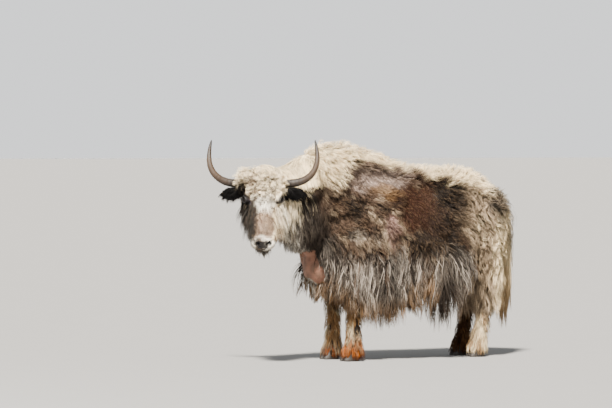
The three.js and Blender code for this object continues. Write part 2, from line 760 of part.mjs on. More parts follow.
// The head: skull and muzzle, brow and lid round each eye, lips, nostrils and the line of the mouth
const MOUTH_UP = -40; // height of the mouth line in the head's frame
function headBase(grow) {
  const pieces = [headLoft(grow)];
  for (const side of [-1, 1]) {
    const centre = eyeCentre(side);
    pieces.push(ball(centre, [EYE_RADIUS + 14, EYE_RADIUS + 5, EYE_RADIUS + 9], 1, new THREE.Euler(), grow));
    const nostrilRim = new THREE.Vector3(-0.955 * HEAD_LENGTH, side * 36, -2);
    pieces.push(ball(nostrilRim, [24, 24, 24], 1, new THREE.Euler(), grow));
  }
  pieces.push(ball(new THREE.Vector3(-0.93 * HEAD_LENGTH, 0, -66), [34, 44, 20], 1, new THREE.Euler(), grow));
  return join(pieces);
}

function headSolid() {
  let head = join([headBase(0), ...foreheadClumps(0), ...buildLocks(beardLocks(), 0)]);
  for (const side of [-1, 1]) {
    head = head.subtract(lidOpening(side));
    const nostril = new THREE.Vector3(-0.99 * HEAD_LENGTH, side * 33, 2);
    head = head.subtract(ball(nostril, [20, 15, 9], 1, new THREE.Euler(side * -0.5, 0, side * 0.35)));
  }
  const lips = (length, halfWidth, height) => {
    const disc = new THREE.CylinderGeometry(1, 1, height, 12).rotateX(Math.PI / 2);
    disc.scale(length, halfWidth, 1).rotateY(0.1).translate(-0.86 * HEAD_LENGTH, 0, MOUTH_UP);
    return solidFrom(disc);
  };
  return inHead(head.subtract(lips(112, 110, 4).subtract(lips(60, 56, 12))));
}

const headGrown = (grow) =>
  inHead(join([headBase(grow), ...foreheadClumps(grow), ...buildLocks(beardLocks(), grow)]));

function tailCore(grow) {
  const rings = [];
  const steps = 8;
  for (let i = 0; i <= steps; i++) {
    const share = i / steps;
    const [x, z, radius] = tailAt(share);
    const before = tailAt(Math.max(0, share - 0.02));
    const after = tailAt(Math.min(1, share + 0.02));
    const along = new THREE.Vector3(after[0] - before[0], 0, after[1] - before[1]).normalize();
    const up = new THREE.Vector3().crossVectors(AXIS_Y, along).normalize();
    const shift = i === 0 ? -grow : i === steps ? grow : 0;
    const centre = new THREE.Vector3(x, 0, z).addScaledVector(along, shift);
    rings.push(eggRing(centre, AXIS_Y, up, radius + grow, radius + grow, radius + grow, 0, 10));
  }
  return loft(rings);
}

// Tiers of hair on the legs: height of the roots, length, width, number and the angles that they span
const FORE_TIERS = [
  { z: 520, length: 210, width: 100, count: 3, from: -30, to: 180, flare: 10 },
  { z: 380, length: 165, width: 64, count: 3, from: -30, to: 170, flare: 8 },
  { z: 215, length: 120, width: 58, count: 3, from: -40, to: 200, flare: 6 },
];
const HIND_TIERS = [
  { z: 790, length: 240, width: 130, count: 2, from: 20, to: 110, flare: 12 },
  { z: 670, length: 260, width: 116, count: 3, from: 0, to: 140, flare: 10 },
  { z: 530, length: 270, width: 100, count: 3, from: -20, to: 150, flare: 14 },
  { z: 290, length: 160, width: 64, count: 3, from: -40, to: 170, flare: 4 },
];

const legs = [
  { name: 'fore_leg_left', stations: FORE_LEG, x: FORE_X, y: FORE_Y, side: -1, tiers: FORE_TIERS, seed: 101 },
  { name: 'fore_leg_right', stations: FORE_LEG, x: FORE_X, y: FORE_Y, side: 1, tiers: FORE_TIERS, seed: 103 },
  { name: 'hind_leg_left', stations: HIND_LEG, x: HIND_X, y: HIND_Y, side: -1, tiers: HIND_TIERS, seed: 107 },
  { name: 'hind_leg_right', stations: HIND_LEG, x: HIND_X, y: HIND_Y, side: 1, tiers: HIND_TIERS, seed: 109 },
];

function legWhole(leg, grow) {
  const hair = legLocks(leg.stations, leg.x, leg.y, leg.side, leg.tiers, leg.seed);
  return join([legCore(leg.stations, leg.x, leg.y, leg.side, grow), ...buildLocks(hair, grow)]);
}

// Materials
const finish = (color, roughness) => new THREE.MeshStandardMaterial({ color, roughness, metalness: 0 });
const coatGrey = finish(0x8d857c, 0.95);
const woolCream = finish(0xe6d9bd, 0.95);
const legBrown = finish(0xa08a6c, 0.95);
const hornGrey = finish(0x5d4f41, 0.5);
const hoofDark = finish(0x2d2723, 0.6);
const earBlack = finish(0x1d1917, 0.95);
const eyeDark = finish(0x120d0a, 0.1);

// Nested groups carry the parts: the body, and on it the head, which is turned and lowered
const yak = new THREE.Group();
const body = new THREE.Group();
body.position.copy(ORIGIN_SHIFT);
const headGroup = new THREE.Group();
headGroup.position.copy(POLL);
headGroup.rotation.setFromRotationMatrix(headTurn);
body.add(headGroup);
yak.add(body);

function place(group, name, solid, material) {
  const geometry = geometryFrom(largest(solid));
  if (group === headGroup) geometry.applyMatrix4(headFrame.clone().invert());
  const mesh = new THREE.Mesh(geometry, material);
  mesh.name = name;
  group.add(mesh);
}

// Pieces that nothing cuts
const sides = [
  { name: 'left', side: -1 },
  { name: 'right', side: 1 },
];
for (const { name, side } of sides) {
  place(headGroup, `horn_${name}`, horn(side, 0), hornGrey);
  place(headGroup, `ear_${name}`, ear(side, 0), earBlack);
  place(headGroup, `eye_${name}`, eye(side, 0), eyeDark);
}
const clawsGrown = [];
for (const leg of legs) {
  for (const outer of [true, false]) {
    const foot = leg.name.replace('leg', 'hoof');
    place(body, `${foot}_${outer ? 'outer' : 'inner'}`, claw(leg.x, leg.y, leg.side, outer, 0), hoofDark);
    clawsGrown.push(claw(leg.x, leg.y, leg.side, outer, GAP));
  }
}

// Each piece of flesh is cut clear of what it meets
const headTrimGrown = join(
  sides.flatMap(({ side }) => [horn(side, GAP), ear(side, GAP), eye(side, GAP)]),
);
place(headGroup, 'head', headSolid().subtract(headTrimGrown), woolCream);

const torsoCoreGrown = torsoCore(GAP);
const neckWhole = (grow) => join([neckCore(grow), ...buildLocks(neckLocks(), grow)]);
const neckClear = join([torsoCoreGrown, headGrown(GAP), headTrimGrown]);
place(body, 'neck', neckWhole(0).subtract(neckClear), woolCream);

const hooves = join(clawsGrown);
for (const leg of legs) {
  const earlier = legs.slice(0, legs.indexOf(leg)).filter((other) => other.x === leg.x);
  let solid = legWhole(leg, 0).subtract(torsoCoreGrown).subtract(hooves);
  for (const other of earlier) solid = solid.subtract(legWhole(other, GAP));
  place(body, leg.name, solid, legBrown);
}

const tailWhole = (grow) => join([tailCore(grow), ...buildLocks(tailLocks(), grow)]);
place(body, 'tail', tailWhole(0).subtract(torsoCoreGrown), woolCream);

const torsoHair = join(buildLocks([...skirtLocks(), ...flankLocks(), ...backLocks(), ...brisketLocks()], 0));
const nearTorso = join([
  neckWhole(GAP),
  headGrown(GAP),
  tailWhole(GAP),
  ...legs.map((leg) => legWhole(leg, GAP)),
]);
place(body, 'torso', torsoCore(0).add(torsoHair.subtract(nearTorso)), coatGrey);

export default yak;
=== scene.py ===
"""A yak in its summer moult, standing square with its head turned to its left, at life size.

The animal faces -X and its left side faces -Y. Tables are in millimetres from the middle of the
stance, on the ground. One skin carries a coat of solid tufts, grown over it along the lie of the hair.
"""

import functools
import math
from types import SimpleNamespace

import bpy
import numpy as np
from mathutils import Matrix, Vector
from mathutils.bvhtree import BVHTree
from mathutils.kdtree import KDTree


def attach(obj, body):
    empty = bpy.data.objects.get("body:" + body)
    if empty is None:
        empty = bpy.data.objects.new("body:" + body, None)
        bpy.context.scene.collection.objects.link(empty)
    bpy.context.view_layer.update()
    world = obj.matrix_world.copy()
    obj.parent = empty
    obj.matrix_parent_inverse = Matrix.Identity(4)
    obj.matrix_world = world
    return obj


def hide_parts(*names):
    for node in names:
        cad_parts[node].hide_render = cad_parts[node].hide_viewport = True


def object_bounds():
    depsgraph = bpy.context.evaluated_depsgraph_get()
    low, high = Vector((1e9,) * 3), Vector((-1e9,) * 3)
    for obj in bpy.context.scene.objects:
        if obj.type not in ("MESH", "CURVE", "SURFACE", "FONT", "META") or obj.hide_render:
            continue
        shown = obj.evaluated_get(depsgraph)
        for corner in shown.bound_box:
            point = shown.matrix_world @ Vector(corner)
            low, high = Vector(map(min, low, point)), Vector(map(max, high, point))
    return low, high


bl_info = {
    "name": "Yak",
    "version": (1, 0, 0),
    "blender": (4, 5, 0),
    "location": "3D View > Sidebar > Yak",
    "description": "Builds a life-size yak with its skin, eyes, horns, hooves and coat",
    "category": "Object",
}

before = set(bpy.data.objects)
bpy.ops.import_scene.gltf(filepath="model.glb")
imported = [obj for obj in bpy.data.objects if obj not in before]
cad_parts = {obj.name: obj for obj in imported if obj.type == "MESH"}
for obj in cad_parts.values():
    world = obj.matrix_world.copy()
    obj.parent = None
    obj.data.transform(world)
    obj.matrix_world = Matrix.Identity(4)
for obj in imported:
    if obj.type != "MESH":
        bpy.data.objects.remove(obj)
CAD_BOX = [list(corner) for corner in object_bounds()]

# Measures of the animal

MM = 0.001
STANCE = np.array([0.302, 0.004, 0.0])  # middle of the stance, in the frame
FORE_X, HIND_X, FORE_Y, HIND_Y = -445.0, 456.0, 120.0, 92.0
POLL = np.array([-1036.0, -90.0, 1115.0])
HEAD_YAW, HEAD_PITCH, HEAD_LENGTH = math.radians(60), math.radians(-60), 490.0
EYE_SHARE, EYE_SIDE, EYE_UP, EYE_RADIUS = 0.385, 100.0, 22.0, 20.0
HOOF_HEIGHT = 66.0

# Stations of the torso: place along X, half width, top, bottom, narrowing of the upper half
TORSO = [
    (-700, 60, 1010, 700, 0.0), (-665, 122, 1150, 615, 0.1), (-600, 170, 1226, 548, 0.24),
    (-480, 208, 1258, 505, 0.36), (-380, 224, 1246, 490, 0.36), (-240, 242, 1206, 478, 0.28),
    (-80, 262, 1152, 470, 0.18), (120, 270, 1124, 480, 0.12), (290, 256, 1124, 520, 0.1),
    (410, 234, 1108, 580, 0.08), (520, 200, 1046, 640, 0.06), (600, 148, 962, 700, 0.0),
    (645, 84, 880, 765, 0.0),
]
# Stations of a left leg: height, shift along X and Y, half length, half width
FORE_LEG = [
    (58, 2, 0, 43, 44), (95, 4, 0, 43, 43), (140, 5, 0, 46, 45), (200, 6, 0, 43, 41), (300, 6, 0, 44, 42),
    (370, 4, 2, 51, 46), (430, 8, 6, 58, 50), (540, 18, 16, 84, 62), (660, 20, 22, 108, 70),
    (760, 10, 16, 90, 60),
]
HIND_LEG = [
    (58, -4, 0, 43, 43), (95, 2, 0, 43, 42), (145, 10, 0, 47, 44), (220, 26, 2, 44, 40), (330, 42, 6, 47, 43),
    (420, 54, 10, 64, 50), (500, 40, 18, 88, 62), (600, 0, 32, 130, 84), (720, -34, 50, 166, 102),
    (840, -20, 50, 156, 98), (920, 4, 40, 110, 76),
]
# Stations of the neck, chest to skull: share, centre, half width, half height, narrowing
NECK = [
    (0.0, -535, 0, 920, 160, 340, 0.28), (0.3, -690, -8, 952, 156, 306, 0.3),
    (0.6, -835, -28, 972, 136, 212, 0.26), (0.85, -955, -58, 1000, 116, 148, 0.1),
    (1.0, -1022, -88, 1030, 100, 122, 0.0),
]
# Stations of the head, skull to nose: share, half width, top, bottom, narrowing
HEAD = [
    (0.0, 84, 42, -78, 0.0), (0.07, 108, 72, -122, -0.06), (0.2, 122, 88, -152, 0.04),
    (0.36, 118, 84, -160, 0.1), (0.5, 98, 66, -148, 0.12), (0.64, 78, 50, -118, 0.1),
    (0.8, 69, 40, -90, 0.02), (0.91, 74, 35, -78, -0.06), (0.975, 68, 24, -66, -0.08), (1.0, 50, 8, -48, 0.0),
]
# Points of a horn, skull to tip: sideways, forward, up, radius
HORN = [
    (70, 6, -58, 24), (140, 20, -60, 25), (205, 34, -51, 23), (250, 44, -32, 21), (285, 50, -2, 19),
    (306, 48, 35, 17), (315, 40, 75, 15), (316, 26, 113, 12.5), (312, 8, 153, 9.5), (303, -12, 197, 4),
]
# Stations of the tail's flesh: share, X, height, radius
TAIL = [(0.0, 622, 955, 40), (0.25, 662, 900, 36), (0.6, 682, 760, 27), (1.0, 684, 600, 16)]
EAR_ROOT, EAR_LENGTH = (100.0, -42.0, -112.0), 150.0
NOSTRIL_PLACE = 0.962 * HEAD_LENGTH

# Borders of the regions of hair: back of the fore legs, front and top of the hind ones, thigh and tail
FORE_LEG_BACK, HIND_LEG_FRONT, LEG_TOP = -330, 340, 430
THIGH_FRONT, TAIL_FRONT, TAIL_TOP = 290, 640, 960
# Back of the mane, how far the wool grows below its edge, and how far the coat below it grows over it
MANE_BACK, WOOL_BELOW, COAT_ABOVE = -180, 14, -16
# How far tufts may stand out of the solids' box and how low they may hang, in metres
COAT_MARGIN, GROUND_GAP = 0.014, 0.004
# Width of a tuft's patch on the bake map, and how far one tuft's streaks are from the next one's
PATCH_SIZE, STREAK_STEP = 0.003, 1.37

# The photo's framing: its width and the column of the stance in pixels, and a pixel's size at the animal
PHOTO_WIDTH, STANCE_COLUMN, PIXEL = 612, 406, 0.00602
# Turn of the view from the left side, and its distance, its height and the height it aims at, in metres
VIEW_TURN, VIEW_DISTANCE, VIEW_HEIGHT, AIM_HEIGHT = math.radians(-30), 22, 1.28, 0.927
SENSOR_WIDTH = 36


def profile(stations):
    """A smooth curve through stations whose first number is the place along it."""
    table = np.array(stations, float)
    places, values = table[:, 0], table[:, 1:]
    rise = np.diff(values, axis=0) / np.diff(places)[:, None]
    slopes = np.vstack([rise[:1], (rise[1:] + rise[:-1]) / 2, rise[-1:]])

    def at(place):
        place = np.clip(np.atleast_1d(np.asarray(place, float)), places[0], places[-1])
        i = np.clip(np.searchsorted(places, place, side="right") - 1, 0, len(places) - 2)
        width = (places[i + 1] - places[i])[:, None]
        t = (place - places[i])[:, None] / width
        a, b, m, n = values[i], values[i + 1], slopes[i] * width, slopes[i + 1] * width
        start = (2 * t**3 - 3 * t**2 + 1) * a + (t**3 - 2 * t**2 + t) * m
        return start + (3 * t**2 - 2 * t**3) * b + (t**3 - t**2) * n

    return at


torso_at, neck_at, head_at, tail_at = profile(TORSO), profile(NECK), profile(HEAD), profile(TAIL)


def turn_z(angle):
    c, s = math.cos(angle), math.sin(angle)
    return np.array([[c, -s, 0], [s, c, 0], [0, 0, 1]])


def turn_y(angle):
    c, s = math.cos(angle), math.sin(angle)
    return np.array([[c, 0, s], [0, 1, 0], [-s, 0, c]])


YAW_TURN = turn_z(HEAD_YAW)
HEAD_TURN = YAW_TURN @ turn_y(HEAD_PITCH)


def from_head(points):
    """Points of the head's own frame (nose to -X) in the body's."""
    return np.asarray(points) @ HEAD_TURN.T + POLL


def from_yaw(points):
    """Points of the head's turned but level frame in the body's."""
    return np.asarray(points) @ YAW_TURN.T + POLL


def to_head(points):
    """Share of the head's length, side and height of points in the body's frame."""
    local = (np.asarray(points) - POLL) @ HEAD_TURN
    return -local[:, 0] / HEAD_LENGTH, local[:, 1], local[:, 2]


# Numbers and noise


def unit(vectors):
    """Vectors made one long."""
    return vectors / np.maximum(np.linalg.norm(vectors, axis=-1, keepdims=True), 1e-9)


def soft(value, low, high):
    """0 below low, 1 above high and smooth between."""
    t = np.clip((value - low) / (high - low), 0, 1)
    return t * t * (3 - 2 * t)


def blob(points, centre, radii):
    """1 at a centre, falling to 0 at the rim of an egg of those radii."""
    far = np.sqrt((((points - np.array(centre, float)) / np.array(radii, float)) ** 2).sum(axis=1))
    return 1 - soft(far, 0.55, 1.1)


def grain(points, size, seed=0):
    """Smooth noise from 0 to 1 with patches of a size."""
    place = np.asarray(points, float) / size + seed * 17.31
    cell = np.floor(place).astype(np.int64)
    t = place - cell
    t = t * t * (3 - 2 * t)
    total = np.zeros(len(place))
    for corner in range(8):
        step = np.array([corner & 1, corner >> 1 & 1, corner >> 2 & 1])
        at = (cell + step).astype(np.int64)
        mixed = (at[:, 0] * 73856093) ^ (at[:, 1] * 19349663) ^ (at[:, 2] * 83492791) ^ (seed * 374761393)
        mixed = (mixed ^ (mixed >> 13)) * 1274126177 & 0x7FFFFFFF
        share = np.where(step, t, 1 - t).prod(axis=1)
        total += share * ((mixed >> 7) & 0xFFFF) / 65535.0
    return total


def drift(points, size, seed):
    """A smooth field of directions whose swirls have a size."""
    return np.stack([grain(points, size, seed + i) - 0.5 for i in range(3)], axis=1) * 2


def mixed(base, colour, amount):
    """A colour laid over a base, by an amount at each place."""
    amount = np.asarray(amount)[..., None]
    return base * (1 - amount) + np.asarray(colour, float) * amount


# Settings


def colour_setting(name, description, rgb):
    return bpy.props.FloatVectorProperty(
        name=name, description=description, subtype="COLOR", size=3, min=0, max=1, default=rgb
    )


# Fixed tones of small places: the patch's rim, the lids, the eyes' corners and tips bleached by the sun
RUSTY_EDGE = (0.13, 0.07, 0.045)
LID_BLACK, CORNER_GREY = (0.005, 0.004, 0.0042), (0.036, 0.030, 0.040)
BLEACHED_TIP = (0.31, 0.20, 0.115)
# Where the shades of the long hair end, as shares of the locks
SHADE_SHARES = (0.30, 0.48, 0.64, 0.76, 0.90)


class YakColours(bpy.types.PropertyGroup):
    """Colours of the coat, the skin and the horn, as linear light."""

    cream: colour_setting("Cream wool", "Hump, mane, back and tail", (0.90, 0.73, 0.46))
    white: colour_setting("White hair", "Forehead and pale locks", (0.92, 0.85, 0.72))
    brown: colour_setting("Shed flank", "Matted wool of the upper flank", (0.080, 0.050, 0.033))
    russet: colour_setting("Russet patch", "Short patch in the middle of the flank", (0.035, 0.0132, 0.0064))
    # Dark hair; the groin and the band below the matted wool also take it as painted shade
    dark: colour_setting("Dark hair", "Loin patch, neck side and roots", (0.0165, 0.0125, 0.0098))
    silver: colour_setting("Silver hair", "Long hair of the lower flank", (0.125, 0.106, 0.088))
    tan: colour_setting("Tan tips", "Tips of the belly fringe", (0.250, 0.135, 0.055))
    olive: colour_setting("Thigh wool", "Curly wool of the thighs", (0.300, 0.222, 0.145))
    pink: colour_setting("Bare skin", "Skin where the hair has rubbed off", (0.190, 0.092, 0.060))
    rust: colour_setting("Rust foot", "Stained hair over the left fore hoof", (0.35, 0.078, 0.0005))
    muzzle: colour_setting("Muzzle", "Short hair over the nose", (0.235, 0.150, 0.095))
    smoke: colour_setting("Smoke cheek", "Dark hair of the right cheek", (0.014, 0.0125, 0.012))
    black: colour_setting("Black", "Nostrils, lids and ears", (0.004, 0.0035, 0.0035))
    horn: colour_setting("Horn", "Pale sides of the horns", (0.050, 0.028, 0.0135))
    hoof: colour_setting("Hoof", "Wall of the hooves", (0.012, 0.0095, 0.0080))
    bloom: colour_setting("Bleached wool", "Pale patch below the hump", (0.38, 0.285, 0.235))
    sore: colour_setting("Sore spot", "Pink patch low on the flank", (0.31, 0.18, 0.155))


class YakSizes(bpy.types.PropertyGroup):
    """Sizes of the skin and the coat."""

    coat_depth: bpy.props.FloatProperty(
        name="Coat depth", description="How far the skin lies inside the solids", default=0.006, unit="LENGTH"
    )
    body_voxel: bpy.props.FloatProperty(
        name="Body detail", description="Size of the skin's faces on the body", default=0.012, unit="LENGTH"
    )
    head_voxel: bpy.props.FloatProperty(
        name="Head detail", description="Size of the skin's faces on the head", default=0.0030, unit="LENGTH"
    )
    fullness: bpy.props.FloatProperty(
        name="Fullness", description="Share of the coat's tufts that are made", default=1.0, subtype="FACTOR"
    )


def colours():
    """The coat's colours by name."""
    group = bpy.context.scene.yak_colours
    return SimpleNamespace(**{name: np.array(getattr(group, name)) for name in YakColours.__annotations__})


# Meshes


def deselect():
    for thing in bpy.context.selected_objects:
        thing.select_set(False)


def activate(piece):
    deselect()
    piece.select_set(True)
    bpy.context.view_layer.objects.active = piece


def apply_modifier(piece, kind, **settings):
    activate(piece)
    modifier = piece.modifiers.new(kind.title(), kind)
    for name, value in settings.items():
        setattr(modifier, name, value)
    bpy.ops.object.modifier_apply(modifier=modifier.name)


def mesh_piece(name, points, faces):
    """A new object from points in metres and arrays of faces, smoothly shaded."""
    mesh = bpy.data.meshes.new(name)
    points = np.asarray(points, np.float32)
    faces = [np.asarray(block, np.int32) for block in faces]
    mesh.vertices.add(len(points))
    mesh.vertices.foreach_set("co", points.ravel())
    loops = np.concatenate([block.ravel() for block in faces])
    sizes = np.concatenate([np.full(len(block), block.shape[1], np.int32) for block in faces])
    mesh.loops.add(len(loops))
    mesh.loops.foreach_set("vertex_index", loops)
    mesh.polygons.add(len(sizes))
    mesh.polygons.foreach_set("loop_start", np.concatenate([[0], np.cumsum(sizes)[:-1]]).astype(np.int32))
    mesh.polygons.foreach_set("use_smooth", np.full(len(sizes), True))
    mesh.update(calc_edges=True)
    piece = bpy.data.objects.new(name, mesh)
    bpy.context.scene.collection.objects.link(piece)
    return piece


def egg_rings(centres, across, up, half_width, rise, drop, taper, count):
    """Egg-shaped rings of points round centres."""

    def column(value):
        return np.broadcast_to(np.atleast_1d(np.asarray(value, float)), len(centres))[:, None]

    angle = np.arange(count) * 2 * math.pi / count
    height = np.sin(angle)[None, :]
    side = column(half_width) * np.cos(angle)[None, :] * (1 - column(taper) * height)
    lift = np.where(height > 0, column(rise), column(drop)) * height
    return centres[:, None] + across[:, None] * side[..., None] + up[:, None] * lift[..., None]


def loft(name, rings):
    """A closed body through rings of points in millimetres, its normals turned outwards."""
    rings = np.asarray(rings)
    rows, count = rings.shape[:2]
    points = np.vstack([rings.reshape(-1, 3), rings[0].mean(axis=0), rings[-1].mean(axis=0)])
    index = np.arange(rows * count).reshape(rows, count)
    ahead = np.roll(index, -1, axis=1)
    walls = np.stack([index[:-1], ahead[:-1], ahead[1:], index[1:]], axis=-1).reshape(-1, 4)
    first, last = rows * count, rows * count + 1
    caps = [np.stack([np.full(count, first), ahead[0], index[0]], axis=1)]
    caps.append(np.stack([np.full(count, last), index[-1], ahead[-1]], axis=1))
    piece = mesh_piece(name, points * MM + STANCE, [walls, np.vstack(caps)])
    activate(piece)
    bpy.ops.object.mode_set(mode="EDIT")
    bpy.ops.mesh.select_all(action="SELECT")
    bpy.ops.mesh.normals_make_consistent(inside=False)
    bpy.ops.object.mode_set(mode="OBJECT")
    return piece


def egg(name, centre, radii, basis=None, place=from_head):
    """A round body at a centre in the head's frame, with its radii along the rows of a basis."""
    deselect()
    bpy.ops.mesh.primitive_ico_sphere_add(subdivisions=4, radius=1)
    piece = bpy.context.active_object
    piece.name = name
    points = read_points(piece) * np.array(radii, float)
    points = points @ (np.eye(3) if basis is None else np.asarray(basis)) + np.array(centre, float)
    write_points(piece, place(points) * MM + STANCE)
    return piece


def read_points(piece):
    points = np.empty(len(piece.data.vertices) * 3, np.float32)
    piece.data.vertices.foreach_get("co", points)
    return points.reshape(-1, 3).astype(float)


def write_points(piece, points):
    piece.data.vertices.foreach_set("co", np.asarray(points, np.float32).ravel())
    piece.data.update()


def joined(name, parts):
    activate(parts[0])
    for part in parts:
        part.select_set(True)
    bpy.ops.object.join()
    whole = bpy.context.active_object
    whole.name = name
    return whole


def cut(piece, cutter):
    apply_modifier(piece, "BOOLEAN", operation="DIFFERENCE", solver="MANIFOLD", object=cutter)
    bpy.data.objects.remove(cutter)


def set_attribute(piece, name, values):
    """Gives each point of a piece a number or a colour."""
    values = np.asarray(values, np.float32)
    kind = "FLOAT_COLOR" if values.ndim == 2 else "FLOAT"
    attribute = piece.data.attributes.new(name, kind, "POINT")
    if values.ndim == 2:
        values = np.hstack([values, np.ones((len(values), 1), np.float32)])
        attribute.data.foreach_set("color", values.ravel())
    else:
        attribute.data.foreach_set("value", values)


# Shader maths


class Wire:
    """A value in a shader. Python's operators on it add Math nodes to its tree."""

    def __init__(self, shader, socket):
        self.shader, self.socket = shader, socket

    def maths(self, operation, *values):
        return self.shader.node("ShaderNodeMath", {"operation": operation}, *values)

    def __add__(self, other):
        return self.maths("ADD", self, other)

    def __sub__(self, other):
        return self.maths("SUBTRACT", self, other)

    def __rsub__(self, other):
        return self.maths("SUBTRACT", other, self)

    def __mul__(self, other):
        return self.maths("MULTIPLY", self, other)

    def __truediv__(self, other):
        return self.maths("DIVIDE", self, other)

    def __rtruediv__(self, other):
        return self.maths("DIVIDE", other, self)

    def __pow__(self, other):
        return self.maths("POWER", self, other)

    __radd__, __rmul__ = __add__, __mul__


class Shader:
    """A material's tree, with one way to add any node."""

    def __init__(self, name):
        self.material = bpy.data.materials.new(name)
        self.material.use_nodes = True
        self.tree = self.material.node_tree
        self.skin = self.tree.nodes["Principled BSDF"]

    def node(self, kind, settings=None, *values, out=0, **named):
        """Adds a node: its settings first, then the values or links of its sockets."""
        made = self.tree.nodes.new(kind)
        for name, value in (settings or {}).items():
            if name == "stops":
                while len(made.color_ramp.elements) < len(value):
                    made.color_ramp.elements.new(0.5)
                for element, (place, colour) in zip(made.color_ramp.elements, value):
                    element.position = place
                    element.color = (*colour, 1)
            else:
                setattr(made, name, value)
        for i, value in enumerate(values):
            self.give(made.inputs[i], value)
        for name, value in named.items():
            self.give(made.inputs[name.replace("_", " ")], value)
        return Wire(self, made.outputs[out])

    def give(self, socket, value):
        """Links a value to a socket, or sets a plain number or colour on it."""
        if isinstance(value, Wire):
            self.tree.links.new(value.socket, socket)
        else:
            socket.default_value = value

    def blend(self, amount, first, second):
        """A mix of two colours."""
        made = self.tree.nodes.new("ShaderNodeMix")
        made.data_type = "RGBA"
        self.give(made.inputs[0], amount)
        for socket, value in ((made.inputs[6], first), (made.inputs[7], second)):
            self.give(socket, value if isinstance(value, Wire) or len(value) == 4 else (*value, 1))
        return Wire(self, made.outputs[2])

    def tint(self, colour, factor):
        """A colour made lighter or darker by a value."""
        return self.node("ShaderNodeVectorMath", {"operation": "SCALE"}, colour, Scale=factor)

    def attribute(self, name, out=0):
        return self.node("ShaderNodeAttribute", {"attribute_name": name}, out=out)

    def place(self, stretch=(1, 1, 1)):
        where = self.node("ShaderNodeTexCoord", out=3)
        return self.node("ShaderNodeMapping", {"vector_type": "POINT"}, where, Scale=stretch)

    def noise(self, where, scale, detail=3.0, roughness=0.5, out=0):
        return self.node(
            "ShaderNodeTexNoise", {}, where, Scale=scale, Detail=detail, Roughness=roughness, out=out
        )

    def bump(self, height, strength, distance):
        return self.node("ShaderNodeBump", {}, Height=height, Strength=strength, Distance=distance)

    def finish(self, piece, **sockets):
        """Sets the surface's sockets and gives the material to a piece."""
        for name, value in sockets.items():
            self.give(self.skin.inputs[name.replace("_", " ")], value)
        piece.data.materials.clear()
        piece.data.materials.append(self.material)


def coat_finish(name):
    """Hair: its own colour, darker and lighter from strand to strand, with a soft sheen."""
    shader = Shader(name)
    colour = shader.attribute("coat_colour")
    strand = shader.node("ShaderNodeUVMap", {"uv_map": "strand"})
    lines = shader.node("ShaderNodeMapping", {}, strand, Scale=(7, 1.3, 1))
    streak = shader.noise(lines, 1.0, 2.0)
    speck = shader.noise(shader.place((1, 1, 1)), 34.0, 3.0)
    tone = 0.34 + streak * 1.0 + speck * 0.3
    rough = 0.55 + streak * 0.35
    shader.skin.inputs["Specular IOR Level"].default_value = 0.1
    return shader, shader.tint(colour, tone), rough


# The skin


def torso_loft(inset):
    """The torso, an inset inside its solid. The lofts below do the same for the other limbs."""
    x = np.linspace(TORSO[0][0], TORSO[-1][0], 60)
    half_width, top, bottom, taper = torso_at(x).T
    level = bottom + 0.42 * (top - bottom)
    centres = np.stack([x, x * 0, level], axis=1)
    ones = np.ones((len(x), 1))
    return loft("torso_flesh", egg_rings(
        centres, ones * [0, 1, 0], ones * [0, 0, 1],
        half_width - inset, top - level - inset, level - bottom - inset, taper, 64,
    ))


def neck_frames(share):
    x, y, z, half_width, half_height, taper = neck_at(share).T
    centre = np.stack([x, y, z], axis=1)
    ahead, behind = neck_at(np.minimum(share + 0.02, 1)), neck_at(np.maximum(share - 0.02, 0))
    along = unit(ahead[:, :3] - behind[:, :3])
    across = unit(np.cross(along, [0, 0, 1]))
    up = unit(np.cross(across, along))
    return centre, along, across, up, half_width, half_height, taper


def neck_loft(inset):
    centre, along, across, up, half_width, half_height, taper = neck_frames(np.linspace(0, 1, 26))
    return loft("neck_flesh", egg_rings(
        centre, across, up, half_width - inset, half_height - inset, half_height - inset, taper, 56
    ))


def leg_loft(stations, x0, y0, side, inset):
    """One leg down to the coronet."""
    z = np.linspace(stations[0][0] + 6, stations[-1][0], 56)
    dx, dy, half_length, half_width = profile(stations)(z).T
    centres = np.stack([x0 + dx, side * (y0 + dy), z], axis=1)
    ones = np.ones((len(z), 1))
    return loft("leg_flesh", egg_rings(
        centres, ones * [1, 0, 0], ones * [0, 1, 0], half_length - inset, half_width - inset,
        half_width - inset, 0, 32,
    ))


def tail_loft(inset):
    """The fleshy root and the whip of the tail."""
    share = np.linspace(0, 1, 30)
    x, z, radius = tail_at(share).T
    ahead, behind = tail_at(share + 0.02), tail_at(share - 0.02)
    along = unit(np.stack([ahead[:, 0] - behind[:, 0], share * 0, ahead[:, 1] - behind[:, 1]], axis=1))
    across = np.ones((len(share), 1)) * [0, 1, 0]
    return loft("tail_flesh", egg_rings(
        np.stack([x, x * 0, z], axis=1), across, unit(np.cross(across, along)), radius - inset,
        radius - inset, radius - inset, 0, 24,
    ))


def head_loft(inset):
    share = np.concatenate([[0.0, 0.02, 0.05], np.linspace(0.08, 0.95, 44), [0.97, 0.985, 0.996, 1.0]])
    half_width, top, bottom, taper = head_at(share).T
    level = (top + bottom) / 2 + 14
    ones = np.ones((len(share), 1))
    rings = egg_rings(
        np.stack([-share * HEAD_LENGTH, share * 0, level], axis=1), ones * [0, 1, 0], ones * [0, 0, 1],
        half_width - inset, top - level - inset, level - bottom - inset, taper, 72,
    )
    return loft("head_flesh", from_head(rings))


def ear_frame(side):
    """Where an ear points, where its hollow faces, the way across both, and its root."""
    out = unit(np.array([0.12, side, -0.06]))
    front = np.array([-0.9, 0, -0.25])
    front = unit(front - out * (front @ out))
    across = unit(np.cross(out, front))
    return out, front, across, np.array([EAR_ROOT[1], side * EAR_ROOT[0], EAR_ROOT[2]])


